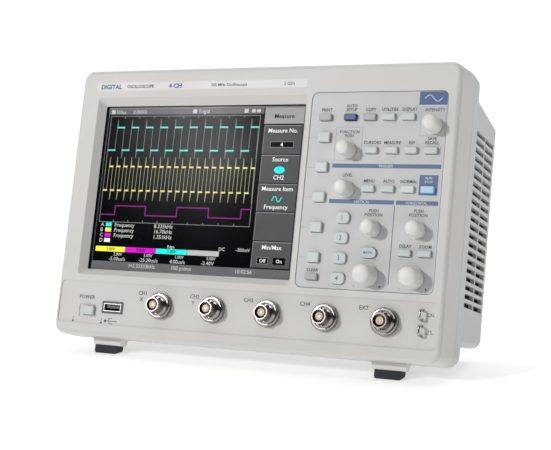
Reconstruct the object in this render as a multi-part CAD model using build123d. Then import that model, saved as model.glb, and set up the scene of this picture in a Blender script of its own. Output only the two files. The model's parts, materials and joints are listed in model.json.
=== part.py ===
"""Bench oscilloscope with four inputs and a 7.5-inch display, standing on its two flip-out front legs.

Everything is drawn in the panel frame, in millimetres: X to the right as seen from the front, Y backwards from
the flat of the front face, and Z up along that face from its bottom edge. At the end the whole instrument is
leaned back on its legs and moved, so that +Z is up and the origin lies on the table under its middle.
"""

import os
from math import radians, tan

from build123d import *

# Stance: the legs tip the instrument back by this angle.
LEAN_DEG = 13.5
LEG_PAD_Y = 15.0
LEG_PAD_Z = -10.5

# Casing, front part (bezel): flat face, then a side that widens to the parting line.
FACE_WIDTH, FACE_HEIGHT, FACE_CORNER = 280.0, 189.0, 7.5
RIM_WIDTH, RIM_HEIGHT, RIM_CORNER = 286.0, 191.0, 8.5
CASE_MID_Z = 95.0
RIM_Y = 22.0
FACE_EDGE_RADIUS = 2.8
WALL = 2.8

# Casing, rear part: a full-height collar, then a lower and narrower hump that ends at the rear face.
PARTING_GAP = 0.4
COLLAR_Y = 36.0
COLLAR_WIDTH, COLLAR_HEIGHT, COLLAR_CORNER, COLLAR_EDGE_RADIUS = 285.2, 190.2, 8.2, 2.0
LIP_WIDTH, LIP_HEIGHT, LIP_DEPTH, LIP_WALL = 279.0, 184.8, 3.5, 2.0
HUMP_FRONT_Y, REAR_Y = 30.0, 90.0
HUMP_FRONT_WIDTH, HUMP_FRONT_BOTTOM, HUMP_FRONT_TOP = 284.0, 14.0, 178.0
HUMP_REAR_WIDTH, HUMP_REAR_BOTTOM, HUMP_REAR_TOP = 283.0, 16.0, 170.0
HUMP_CORNER, HUMP_EDGE_RADIUS = 6.0, 3.0

# Side vents: two columns of slots in each side of the hump. Rear grille: slots in front of the fan.
VENT_ROWS, VENT_PITCH, VENT_HEIGHT, VENT_BOTTOM_Z = 21, 5.6, 3.3, 41.0
VENT_COLUMNS = ((38.4, 59.8), (61.8, 83.4))
GRILLE_ROWS, GRILLE_SLOT_HEIGHT = 9, 3.0

# Display: 7.5-inch, 4:3.
DISPLAY_WIDTH, DISPLAY_HEIGHT = 152.4, 114.3
DISPLAY_X, DISPLAY_Z = -42.8, 105.35
RECESS_LEFT, RECESS_RIGHT, RECESS_BOTTOM, RECESS_TOP = -125.7, 37.0, 42.5, 169.5
RECESS_DEPTH = 4.0
WINDOW_MARGIN, WINDOW_THICK = 1.5, 1.5
MODULE_FRONT_Y, MODULE_BACK_Y = 6.0, 14.0

# Control panel: a plate let into the bezel.
PANEL_X, PANEL_Z, PANEL_WIDTH, PANEL_HEIGHT, PANEL_CORNER = 86.65, 106.5, 91.7, 128.0, 4.0
PANEL_GAP = 0.35
PANEL_FRONT_Y, PANEL_BACK_Y = 0.4, 3.2
LEDGE_BACK_Y = 5.5
LEDGE = 2.0
BLOCK_MARGIN = 2.6

# Lower strip with the sockets, slightly sunk in the face.
STRIP_HALF_WIDTH, STRIP_BOTTOM, STRIP_TOP, STRIP_DEPTH = 137.8, 8.4, 37.7, 0.6

# Keys. A rectangular key is a cap, a flange behind the panel that keeps it in, and a stem.
KEY_SIZE, SOFT_KEY_SIZE, CHANNEL_KEY_SIZE, MATH_KEY_SIZE = (8.4, 4.2), (8.0, 6.5), (9.3, 7.3), (10.4, 6.9)
KEY_CORNER, CHANNEL_KEY_CORNER, MATH_KEY_CORNER = 0.7, 2.6, 3.3
KEY_FRONT_Y, LOW_KEY_FRONT_Y = -2.2, -1.5
KEY_GAP, KEY_TRAVEL, FLANGE_OVERHANG, FLANGE_THICK, STEM_SIDE = 0.25, 1.0, 0.8, 1.2, 2.4
KEY_EDGE_RADIUS = 0.45
POWER_X, POWER_Z, POWER_SIZE, POWER_TRAVEL = -113.1, 17.6, (9.3, 6.3), 2.0
POWER_FRONT_Y = -1.4
POWER_FRAME = (16.0, 8.7, 0.5)
SWITCH_FRONT_Y, BOARD_FRONT_Y, BOARD_THICK, SWITCH_SIDE = 8.5, 12.0, 1.6, 6.0
SOFT_KEY_X, SOFT_KEY_TOP_Z, SOFT_KEY_PITCH, SOFT_KEY_COUNT = 52.0, 140.4, 19.65, 5
CHANNEL_KEY_X, CHANNEL_KEY_TOP_Z, CHANNEL_KEY_PITCH, CHANNEL_COUNT = 69.7, 88.0, 12.93, 4
TOP_ROW_Z, SECOND_ROW_Z, TRIGGER_ROW_Z, HORIZONTAL_ROW_Z = 153.7, 132.0, 107.1, 67.0
ROW_KEYS = {
    "print_key": (51.6, TOP_ROW_Z),
    "auto_setup_key": (68.8, TOP_ROW_Z),
    "copy_key": (81.9, TOP_ROW_Z),
    "utilities_key": (94.9, TOP_ROW_Z),
    "display_key": (108.0, TOP_ROW_Z),
    "cursors_key": (84.8, SECOND_ROW_Z),
    "measure_key": (98.3, SECOND_ROW_Z),
    "reference_key": (111.2, SECOND_ROW_Z),
    "save_recall_key": (124.3, SECOND_ROW_Z),
    "trigger_menu_key": (85.0, TRIGGER_ROW_Z),
    "auto_key": (98.1, TRIGGER_ROW_Z),
    "normal_key": (111.2, TRIGGER_ROW_Z),
    "run_stop_key": (124.1, TRIGGER_ROW_Z),
    "delay_key": (112.4, HORIZONTAL_ROW_Z),
    "zoom_key": (125.3, HORIZONTAL_ROW_Z),
    "clear_key": (51.7, 49.4),
}
MATH_KEY_X, MATH_KEY_Z = 89.0, 66.3

# Knobs: name to (x, z, large). Each has a moulded spigot that turns in a hollow encoder.
KNOBS = {
    "function_knob": (68.8, 131.9, False),
    "trigger_level_knob": (69.9, 106.6, False),
    "vertical_position_knob": (89.8, 81.7, False),
    "horizontal_position_knob": (119.2, 81.8, False),
    "intensity_knob": (124.6, 148.0, False),
    "vertical_scale_knob": (89.3, 52.0, True),
    "horizontal_scale_knob": (119.1, 51.8, True),
}
SMALL_KNOB = {"face": 4.65, "base": 5.15, "skirt": 5.6, "front_y": -12.0}
LARGE_KNOB = {"face": 5.9, "base": 6.6, "skirt": 7.1, "front_y": -14.0}
KNOB_BACK_Y, SKIRT_THICK, KNOB_EDGE_RADIUS = -0.4, 1.2, 1.8
SPIGOT_RADIUS, SPIGOT_END_Y, RUNNING_CLEARANCE = 1.5, 11.4, 0.05
ENCODER_SIDE, ENCODER_FRONT_Y = 11.0, 5.8

# Sockets in the lower strip.
BNC_COUNT, BNC_X, BNC_PITCH, BNC_Z = 5, -56.6, 40.0, 23.9
BNC_SHELL_RADIUS, BNC_BORE_RADIUS, BNC_FRONT_Y = 4.8, 4.05, -11.0
BNC_FLANGE_RADIUS, BNC_FLANGE_Y, BNC_STEP_RADIUS, BNC_STEP_Y = 8.9, -3.0, 7.0, -4.4
BNC_THREAD_RADIUS, BNC_HOLE_RADIUS, BNC_BACK_Y, BNC_NUT_RADIUS = 4.6, 4.8, 14.0, 7.5
BNC_LUG_RADIUS, BNC_LUG_REACH, BNC_LUG_Y = 1.0, 5.8, -7.4
BNC_CORE_RADIUS, BNC_CORE_BORE, BNC_CORE_FRONT_Y, BNC_CONTACT_RADIUS = 2.5, 1.1, -10.0, 0.9
USB_X, USB_Z, USB_FLANGE, USB_SHELL, USB_MOUTH = -94.1, 20.5, (16.6, 8.3), (13.6, 6.6), (12.5, 5.1)
USB_DEPTH, USB_TONGUE = 15.0, (11.1, 1.9)
HOOK_X, HOOK_ZS, HOOK_WIRE_RADIUS, HOOK_HEIGHT, HOOK_REACH = 126.9, (29.6, 19.9), 0.75, 6.0, -5.0

# Flip-out legs. They turn on trunnions in two ears of the rear cover and fold backwards.
LEG_XS = {"left": -104.0, "right": 103.5}
LEG_PIVOT_Y, LEG_PIVOT_Z = 21.0, 7.0
LEG_TOP_HALF, LEG_FOOT_HALF, LEG_FRONT_Y, LEG_BACK_Y, LEG_FOOT_Z = 12.0, 10.6, 14.0, 23.0, -5.0
LEG_SHOULDER_Z, LEG_BARREL_RADIUS = 1.6, 3.5
PAD_HALF, PAD_SIDE_RADIUS = 9.0, 1.6
EAR_THICK, EAR_GAP, EAR_REACH, EAR_BOTTOM_Z, LEG_TRUNNION_RADIUS = 2.5, 0.6, 4.5, 3.4, 2.0
LEG_POCKET_FRONT_Y, LEG_POCKET_TOP_Z = 12.9, 11.4

# Carrying handle, folded down behind the collar.
HANDLE_PIVOT_Y, HANDLE_PIVOT_Z = 47.0, 182.0
HANDLE_HALF, HANDLE_ARM, HANDLE_THICK, HANDLE_BAR_Y, HANDLE_BAR = 118.0, 8.0, 8.5, 82.0, 12.0
HANDLE_TRUNNION_RADIUS, HANDLE_LUG_THICK, HANDLE_LUG_RADIUS, HANDLE_LUG_GAP = 3.0, 5.0, 6.0, 0.5
HANDLE_DROP, HANDLE_INNER_RADIUS, HANDLE_OUTER_RADIUS = 6.0, 6.0, 8.0

# Rear feet and bumpers.
REAR_FOOT_XS, REAR_FOOT_YS, REAR_FOOT_HALF = (-102.0, 102.0), (76.0, 86.0), 11.0
BUMPER_X, BUMPER_ZS, BUMPER_HALF_WIDTH, BUMPER_REACH = 124.0, ((43.0, 63.0), (109.0, 129.0)), 9.0, 3.2
SKID_XS, SKID_YS, SKID_BOTTOM_Z = (122.0, 134.0), (46.0, 63.0), 11.6

# Inside.
CHASSIS_Y, CHASSIS_THICK, CHASSIS_FOLD = 38.0, 1.2, 10.0
CHASSIS_HALF, CHASSIS_ZS = 124.0, (24.0, 164.0)
CABLE_HOLE_RADIUS, CABLE_HOLE_XS, CABLE_HOLE_Z = 9.0, (-60.0, 0.0, 60.0), 60.0
FAN_X, FAN_Z, FAN_SIDE, FAN_FRONT_Y, FAN_BACK_Y = 72.0, 95.0, 60.0, 70.0, 85.0
FAN_BORE, FAN_HUB, FAN_BLADES, FAN_TIP = 28.6, 12.5, 7, 27.4
FAN_SHAFT_RADIUS = 1.5
BOARD_Y, BOARD_XS, BOARD_ZS = 42.0, (-120.0, 30.0), (62.0, 158.0)
CAN_XS, CAN_WIDTH, CAN_BACK_Y, CAN_ZS = (-112.0, -84.0, -56.0, -28.0), 24.0, 48.0, (68.0, 96.0)
SINK_XS, SINK_BACK_Y, SINK_ZS = (-30.0, 10.0), 51.0, (110.0, 145.0)
FIN_COUNT, FIN_PITCH, FIN_SLOT, FIN_ROOT = 10, 4.0, 2.0, 2.0
KEY_BOARD_WIDTH, POWER_BOARD = 84.0, (18.0, 16.0)
SUPPLY_BOX = ((-124.0, -46.0), (52.0, 84.0), (62.0, 150.0))
SUPPLY_SLOTS, SUPPLY_SLOT_PITCH, SUPPLY_SLOT_HEIGHT, SUPPLY_MARGIN = 9, 8.0, 3.0, 10.0
INLET_X, INLET_Z, INLET_FLANGE, INLET_BODY, INLET_MOUTH = -92.0, 38.0, (31.0, 25.0), (27.2, 20.0), (24.4, 15.8)
INLET_DEPTH, INLET_FLANGE_THICK = 17.0, 2.0
BLADE_SIZE, BLADE_PLACES, BLADE_RECESS = (2.0, 4.0), ((-7.0, -1.5), (0.0, 2.5), (7.0, -1.5)), 3.0
IO_PLATE_X, IO_PLATE_Z, IO_PLATE_SIZE, IO_PLATE_THICK = -18.0, 40.0, (70.0, 28.0), 1.0
IO_PITCH, NETWORK_SOCKET, DEVICE_SOCKET, OUTPUT_RADIUS = 20.0, (15.0, 12.5), (9.0, 8.0), 4.9
NETWORK_DEPTH, DEVICE_DEPTH, OUTPUT_DEPTH, IO_BLOCK_DEPTH = 9.0, 8.0, 6.0, 12.0
POST_XS, POST_ZS, POST_RADIUS, BOSS_RADIUS = (-130.5, 130.5), (29.0, 161.0), 4.8, 4.0
POST_FRONT_Y, SCREW_SEAT_Y, SCREW_RADIUS, SCREW_LENGTH = 46.0, 50.0, 1.5, 16.0
SCREW_HEAD_RADIUS, SCREW_HEAD_HEIGHT = 2.9, 2.4


def facing(x, y, z):
    """Drawing plane at a point, seen from the front: local X runs right and local Y up."""
    return Plane((x, y, z), x_dir=(1, 0, 0), z_dir=(0, -1, 0))


def block(x, y, z):
    """Rectangular block between the given (low, high) pairs."""
    middle = [(low + high) / 2 for low, high in (x, y, z)]
    return Pos(*middle) * Box(x[1] - x[0], y[1] - y[0], z[1] - z[0])


def slab(size, corner, y, x=0.0, z=0.0):
    """Plate that faces the front, of rounded rectangular outline, from y[0] back to y[1]."""
    outline = RectangleRounded(size[0], size[1], corner) if corner else Rectangle(*size)
    return extrude(facing(x, y[1], z) * outline, y[1] - y[0])


def rod(radius, y, x=0.0, z=0.0):
    """Round bar along Y, from y[0] back to y[1]."""
    return extrude(facing(x, y[1], z) * Circle(radius), y[1] - y[0])


def cross_rod(radius, x, y, z):
    """Round bar along X, between the two ends in x."""
    return extrude(Plane((x[0], y, z), x_dir=(0, 1, 0), z_dir=(1, 0, 0)) * Circle(radius), x[1] - x[0])


def side_profile(points, x):
    """Extrusion along X, between the two ends in x, of an outline given as (y, z) corners."""
    plane = Plane((x[0], 0, 0), x_dir=(0, 1, 0), z_dir=(1, 0, 0))
    return extrude(plane * make_face(Polyline(*points, close=True)), x[1] - x[0])


def tapered(front, back, mid_z=(CASE_MID_Z, CASE_MID_Z), mid_x=(0.0, 0.0)):
    """Solid between two rounded rectangles, each (y, width, height, corner)."""
    sections = [
        facing(x, y, z) * RectangleRounded(width, height, corner)
        for (y, width, height, corner), z, x in zip((front, back), mid_z, mid_x)
    ]
    return loft(sections, ruled=True)


def floor_z(y):
    """Height of the table in the panel frame, under a point y behind the face."""
    return LEG_PAD_Z + (y - LEG_PAD_Y) * tan(radians(LEAN_DEG))


def rounded(solid, radius, pick):
    """The solid with the edges of one face rounded; pick chooses the face from a list in order of Y."""
    return fillet(solid.faces().sort_by(Axis.Y)[pick].edges(), radius)


# ---------------------------------------------------------------- keys
def key_table():
    """Every key behind the control panel: name to (x, z, size, corner, front y)."""
    keys = {name: (x, z, KEY_SIZE, KEY_CORNER, KEY_FRONT_Y) for name, (x, z) in ROW_KEYS.items()}
    for i in range(SOFT_KEY_COUNT):
        z = SOFT_KEY_TOP_Z - i * SOFT_KEY_PITCH
        keys[f"soft_key_{i + 1}"] = (SOFT_KEY_X, z, SOFT_KEY_SIZE, KEY_CORNER, KEY_FRONT_Y)
    for i in range(CHANNEL_COUNT):
        z = CHANNEL_KEY_TOP_Z - i * CHANNEL_KEY_PITCH
        keys[f"channel_{i + 1}_key"] = (CHANNEL_KEY_X, z, CHANNEL_KEY_SIZE, CHANNEL_KEY_CORNER, LOW_KEY_FRONT_Y)
    keys["math_key"] = (MATH_KEY_X, MATH_KEY_Z, MATH_KEY_SIZE, MATH_KEY_CORNER, LOW_KEY_FRONT_Y)
    return keys


KEYS = key_table()


def key(x, z, size, corner, front_y, panel_back, travel):
    """Cap with rounded front edges, retaining flange and stem, clear of its switch at full travel."""
    flange_y = panel_back + KEY_GAP
    cap = rounded(slab(size, corner, (front_y, flange_y), x, z), KEY_EDGE_RADIUS, 0)
    flange_size = (size[0] + 2 * FLANGE_OVERHANG, size[1] + 2 * FLANGE_OVERHANG)
    flange = slab(flange_size, corner, (flange_y, flange_y + FLANGE_THICK), x, z)
    stem = slab((STEM_SIDE, STEM_SIDE), 0, (flange_y, SWITCH_FRONT_Y - travel - KEY_GAP / 2), x, z)
    return cap + flange + stem


def key_hole(x, z, size, corner, y):
    """The hole that a key slides in."""
    return slab((size[0] + 2 * KEY_GAP, size[1] + 2 * KEY_GAP), corner + KEY_GAP, y, x, z)


def key_switches():
    """One tactile switch behind each key."""
    places = [(x, z) for x, z, *_ in KEYS.values()] + [(POWER_X, POWER_Z)]
    return [slab((SWITCH_SIDE, SWITCH_SIDE), 0.5, (SWITCH_FRONT_Y, BOARD_FRONT_Y), x, z) for x, z in places]


def key_board():
    """Circuit board behind the control panel, and the small board of the power switch."""
    y = (BOARD_FRONT_Y, BOARD_FRONT_Y + BOARD_THICK)
    main = slab((KEY_BOARD_WIDTH, PANEL_HEIGHT - 2 * LEDGE), 2.0, y, PANEL_X - 0.8, PANEL_Z)
    notches = [rod(BOSS_RADIUS + 0.6, (y[0] - 1, y[1] + 1), x, z) for x in POST_XS for z in POST_ZS]
    power = slab(POWER_BOARD, 1.0, y, POWER_X, POWER_Z)
    return [main - notches, power]


# ---------------------------------------------------------------- knobs
def knob(x, z, large):
    """Knob with a slightly conical grip, a thin skirt and a spigot for the hollow encoder."""
    size = LARGE_KNOB if large else SMALL_KNOB
    front = Plane((x, size["front_y"], z), z_dir=(0, 1, 0))
    grip = Solid.make_cone(size["face"], size["base"], KNOB_BACK_Y - size["front_y"], front)
    grip = rounded(grip, KNOB_EDGE_RADIUS, 0)
    skirt = rod(size["skirt"], (KNOB_BACK_Y - SKIRT_THICK, KNOB_BACK_Y), x, z)
    return grip + skirt + rod(SPIGOT_RADIUS, (KNOB_BACK_Y, SPIGOT_END_Y), x, z)


def rotary_encoders():
    """Hollow-shaft encoders between the control panel and its board."""
    bodies = []
    for x, z, _ in KNOBS.values():
        body = slab((ENCODER_SIDE, ENCODER_SIDE), 1.0, (ENCODER_FRONT_Y, BOARD_FRONT_Y), x, z)
        collar = rod(SPIGOT_RADIUS + 2.0, (PANEL_BACK_Y + 0.4, ENCODER_FRONT_Y), x, z)
        bore = rod(SPIGOT_RADIUS + RUNNING_CLEARANCE, (PANEL_BACK_Y, BOARD_FRONT_Y + 1), x, z)
        bodies.append(body + collar - bore)
    return bodies


# ---------------------------------------------------------------- front
def leg_pocket(x, back_y):
    """Space that a leg needs through the underside."""
    half = LEG_TOP_HALF + EAR_GAP
    return block((x - half, x + half), (LEG_POCKET_FRONT_Y, back_y), (LEG_PAD_Z, LEG_POCKET_TOP_Z))


def front_bezel():
    """Front half of the casing, with the display recess, the control panel's seat and the socket strip."""
    face = (0.0, FACE_WIDTH, FACE_HEIGHT, FACE_CORNER)
    rim = (RIM_Y, RIM_WIDTH, RIM_HEIGHT, RIM_CORNER)
    outer = rounded(tapered(face, rim), FACE_EDGE_RADIUS, 0)
    inner_face = (WALL, FACE_WIDTH - 2 * WALL, FACE_HEIGHT - 2 * WALL, FACE_CORNER - WALL)
    inner_rim = (RIM_Y + 0.01, RIM_WIDTH - 2 * WALL, RIM_HEIGHT - 2 * WALL, RIM_CORNER - WALL)
    shell = outer - tapered(inner_face, inner_rim)

    recess_width, recess_height = RECESS_RIGHT - RECESS_LEFT, RECESS_TOP - RECESS_BOTTOM
    recess_x, recess_z = (RECESS_RIGHT + RECESS_LEFT) / 2, (RECESS_TOP + RECESS_BOTTOM) / 2
    rim_size = (recess_width + 2 * BLOCK_MARGIN, recess_height + 2 * BLOCK_MARGIN)
    display_seat = slab(rim_size, 4.0, (WALL - 0.5, RECESS_DEPTH + WINDOW_THICK), recess_x, recess_z)
    seat_size = (PANEL_WIDTH + 2 * BLOCK_MARGIN, PANEL_HEIGHT + 2 * BLOCK_MARGIN)
    panel_seat = slab(seat_size, 4.0, (WALL - 0.5, LEDGE_BACK_Y), PANEL_X, PANEL_Z)
    bosses = [
        rod(BOSS_RADIUS, (WALL - 0.5, POST_FRONT_Y - 0.2), x, z) for x in POST_XS for z in POST_ZS
    ]
    body = shell + display_seat + panel_seat + bosses

    window_size = (DISPLAY_WIDTH + 2 * WINDOW_MARGIN, DISPLAY_HEIGHT + 2 * WINDOW_MARGIN)
    mouth = tapered(
        (-0.001, recess_width, recess_height, 2.5),
        (RECESS_DEPTH, *window_size, 1.0),
        (recess_z, DISPLAY_Z),
        (recess_x, DISPLAY_X),
    )
    rebate_size = (window_size[0] + 2 * LEDGE, window_size[1] + 2 * LEDGE)
    rebate = slab(rebate_size, 1.5, (RECESS_DEPTH, 10.0), DISPLAY_X, DISPLAY_Z)
    hole_size = (PANEL_WIDTH + 2 * PANEL_GAP, PANEL_HEIGHT + 2 * PANEL_GAP)
    panel_hole = slab(hole_size, PANEL_CORNER + PANEL_GAP, (-1.0, PANEL_BACK_Y), PANEL_X, PANEL_Z)
    ledge_size = (PANEL_WIDTH - 2 * LEDGE, PANEL_HEIGHT - 2 * LEDGE)
    ledge_hole = slab(ledge_size, PANEL_CORNER - 1.5, (PANEL_BACK_Y - 0.5, 10.0), PANEL_X, PANEL_Z)
    strip_size = (2 * STRIP_HALF_WIDTH, STRIP_TOP - STRIP_BOTTOM)
    strip = slab(strip_size, 3.0, (-1.0, STRIP_DEPTH), 0.0, (STRIP_TOP + STRIP_BOTTOM) / 2)
    power_frame = slab(POWER_FRAME[:2], 1.2, (-1.0, STRIP_DEPTH + POWER_FRAME[2]), POWER_X, POWER_Z)
    power_hole = key_hole(POWER_X, POWER_Z, POWER_SIZE, KEY_CORNER, (-1.0, 4.0))
    usb_hole = slab((USB_SHELL[0] + 0.4, USB_SHELL[1] + 0.4), 0.8, (-1.0, 4.0), USB_X, USB_Z)
    bnc_holes = [rod(BNC_HOLE_RADIUS, (-1.0, 4.0), x, BNC_Z) for x in bnc_xs()]
    hook_holes = [
        rod(HOOK_WIRE_RADIUS + 0.15, (-1.0, 4.0), HOOK_X, z + side * HOOK_HEIGHT / 2)
        for z in HOOK_ZS
        for side in (-1, 1)
    ]
    pilots = [
        rod(SCREW_RADIUS + 0.05, (SCREW_SEAT_Y - SCREW_LENGTH - 1, POST_FRONT_Y + 1), x, z)
        for x in POST_XS
        for z in POST_ZS
    ]
    pockets = [leg_pocket(x, RIM_Y + 1) for x in LEG_XS.values()]
    cuts = [mouth, rebate, panel_hole, ledge_hole, strip, power_frame, power_hole, usb_hole]
    return body - (cuts + bnc_holes + hook_holes + pilots + pockets)


def control_panel():
    """Plate with the holes of the keys and knobs."""
    plate = slab((PANEL_WIDTH, PANEL_HEIGHT), PANEL_CORNER, (PANEL_FRONT_Y, PANEL_BACK_Y), PANEL_X, PANEL_Z)
    y = (PANEL_FRONT_Y - 1, PANEL_BACK_Y + 1)
    key_holes = [key_hole(x, z, size, corner, y) for x, z, size, corner, _ in KEYS.values()]
    knob_holes = [rod(SPIGOT_RADIUS + 0.6, y, x, z) for x, z, _ in KNOBS.values()]
    return plate - (key_holes + knob_holes)


def display_window():
    """Clear cover in front of the display."""
    margin = 2 * (WINDOW_MARGIN + LEDGE) - 0.4
    size = (DISPLAY_WIDTH + margin, DISPLAY_HEIGHT + margin)
    return slab(size, 1.3, (RECESS_DEPTH + 0.02, RECESS_DEPTH + WINDOW_THICK), DISPLAY_X, DISPLAY_Z)


def display_module():
    """Flat display module with its metal tray and a connector block behind."""
    size = (DISPLAY_WIDTH + 12.0, DISPLAY_HEIGHT + 10.0)
    tray = slab(size, 1.5, (MODULE_FRONT_Y, MODULE_BACK_Y), DISPLAY_X, DISPLAY_Z)
    connector = slab((40.0, 8.0), 0, (MODULE_BACK_Y, MODULE_BACK_Y + 3.0), DISPLAY_X, DISPLAY_Z - 40.0)
    return tray + connector


# ---------------------------------------------------------------- sockets
def bnc_xs():
    """Places of the input sockets along the strip."""
    return [BNC_X + i * BNC_PITCH for i in range(BNC_COUNT)]


def bnc_shell(x):
    """Bayonet shell with its flange, two lugs, threaded tail and inner nut."""
    barrel = rod(BNC_SHELL_RADIUS, (BNC_FRONT_Y, BNC_STEP_Y), x, BNC_Z)
    step_plane = Plane((x, BNC_STEP_Y, BNC_Z), z_dir=(0, 1, 0))
    step = Solid.make_cone(BNC_SHELL_RADIUS + 0.9, BNC_STEP_RADIUS, BNC_FLANGE_Y - BNC_STEP_Y, step_plane)
    flange = rounded(rod(BNC_FLANGE_RADIUS, (BNC_FLANGE_Y, STRIP_DEPTH), x, BNC_Z), 1.2, 0)
    tail = rod(BNC_THREAD_RADIUS, (STRIP_DEPTH, BNC_BACK_Y), x, BNC_Z)
    nut = extrude(facing(x, WALL + 2.2, BNC_Z) * RegularPolygon(BNC_NUT_RADIUS, 6), 2.2)
    lugs = extrude(Plane((x, BNC_LUG_Y, BNC_Z - BNC_LUG_REACH)) * Circle(BNC_LUG_RADIUS), 2 * BNC_LUG_REACH)
    bore = rod(BNC_BORE_RADIUS, (BNC_FRONT_Y - 1, BNC_STEP_Y + 0.4), x, BNC_Z)
    return barrel + step + flange + tail + nut + lugs - bore


def bnc_core(x):
    """Insulator with the contact's bore, standing in the shell, and the contact itself."""
    floor_y = BNC_STEP_Y + 0.4
    insulator = rod(BNC_CORE_RADIUS, (BNC_CORE_FRONT_Y, floor_y), x, BNC_Z)
    bore = rod(BNC_CORE_BORE, (BNC_CORE_FRONT_Y - 1, BNC_CORE_FRONT_Y + 3.0), x, BNC_Z)
    contact = rod(BNC_CONTACT_RADIUS, (BNC_CORE_FRONT_Y + 0.5, BNC_CORE_FRONT_Y + 3.0), x, BNC_Z)
    eye = rod(BNC_CONTACT_RADIUS / 2, (BNC_CORE_FRONT_Y, BNC_CORE_FRONT_Y + 2.5), x, BNC_Z)
    return [insulator - bore, contact - eye]


def usb_socket():
    """Host socket: flanged shell with the contact tongue inside."""
    flange = slab(USB_FLANGE, 0.8, (STRIP_DEPTH - 0.5, STRIP_DEPTH), USB_X, USB_Z)
    shell = slab(USB_SHELL, 0.5, (STRIP_DEPTH - 0.5, USB_DEPTH), USB_X, USB_Z)
    cavity = slab(USB_MOUTH, 0.3, (-1.0, USB_DEPTH - 2.0), USB_X, USB_Z)
    tongue = slab(USB_TONGUE, 0.2, (STRIP_DEPTH + 1.2, USB_DEPTH - 1.9), USB_X, USB_Z + 0.75)
    return flange + shell - cavity + tongue


def calibrator_hook(z):
    """Wire loop for a probe's tip, its two ends through the strip."""
    half = HOOK_HEIGHT / 2
    ends = ((HOOK_X, WALL + 1.0, z - half), (HOOK_X, HOOK_REACH, z - half))
    back = ((HOOK_X, HOOK_REACH, z + half), (HOOK_X, WALL + 1.0, z + half))
    path = FilletPolyline(*ends, *back, radius=1.6)
    section = Plane(path @ 0, z_dir=path % 0) * Circle(HOOK_WIRE_RADIUS)
    return sweep(section, path=path)


# ---------------------------------------------------------------- legs
def tilt_leg(x):
    """Leg block with a rounded barrel at its pivot and a trunnion on each side."""
    block_outline = (
        (LEG_FRONT_Y, LEG_SHOULDER_Z),
        (LEG_FRONT_Y + 0.3, LEG_FOOT_Z),
        (LEG_BACK_Y - 1.0, LEG_FOOT_Z),
        (LEG_PIVOT_Y + LEG_BARREL_RADIUS - 0.5, LEG_PIVOT_Z),
        (LEG_PIVOT_Y - LEG_BARREL_RADIUS, LEG_PIVOT_Z),
    )
    body = side_profile(block_outline, (x - LEG_TOP_HALF, x + LEG_TOP_HALF))
    barrel = cross_rod(LEG_BARREL_RADIUS, (x - LEG_TOP_HALF, x + LEG_TOP_HALF), LEG_PIVOT_Y, LEG_PIVOT_Z)
    reach = LEG_TOP_HALF + EAR_GAP + EAR_THICK - 0.3
    trunnion = cross_rod(LEG_TRUNNION_RADIUS, (x - reach, x + reach), LEG_PIVOT_Y, LEG_PIVOT_Z)
    flare = LEG_TOP_HALF - LEG_FOOT_HALF
    wedges = []
    for side in (-1, 1):
        corners = (
            (x + side * (LEG_FOOT_HALF), LEG_FOOT_Z - 1),
            (x + side * (LEG_TOP_HALF + flare), LEG_FOOT_Z - 1),
            (x + side * (LEG_TOP_HALF + flare), LEG_SHOULDER_Z),
            (x + side * LEG_TOP_HALF, LEG_SHOULDER_Z),
        )
        outline = make_face(Polyline(*corners, close=True))
        wedges.append(extrude(facing(0, LEG_BACK_Y + 5, 0) * outline, 20.0))
    return body + barrel - wedges + trunnion


def leg_pad(x):
    """Rubber pad under a leg, its sole lying on the table."""
    front, back = LEG_FRONT_Y - 0.2, LEG_BACK_Y - 1.2
    outline = ((front, LEG_FOOT_Z), (front, floor_z(front)), (back, floor_z(back)), (back, LEG_FOOT_Z))
    pad = side_profile(outline, (x - PAD_HALF, x + PAD_HALF))
    sole = pad.faces().sort_by(Axis.Z)[0]
    ends = sole.edges().filter_by(lambda e: abs(e.tangent_at(0.5).X) < 0.1)
    return fillet(ends, PAD_SIDE_RADIUS)


# ---------------------------------------------------------------- rear
def hump(y, inset):
    """The hump's solid between two depths, made smaller by inset on every side."""
    span = REAR_Y - HUMP_FRONT_Y

    def at(value_front, value_rear, depth):
        return value_front + (value_rear - value_front) * (depth - HUMP_FRONT_Y) / span

    sections, middles = [], []
    for depth in y:
        width = at(HUMP_FRONT_WIDTH, HUMP_REAR_WIDTH, depth)
        low = at(HUMP_FRONT_BOTTOM, HUMP_REAR_BOTTOM, depth)
        high = at(HUMP_FRONT_TOP, HUMP_REAR_TOP, depth)
        sections.append((depth, width - 2 * inset, high - low - 2 * inset, HUMP_CORNER - inset))
        middles.append((low + high) / 2)
    return tapered(*sections, mid_z=middles)


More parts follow.
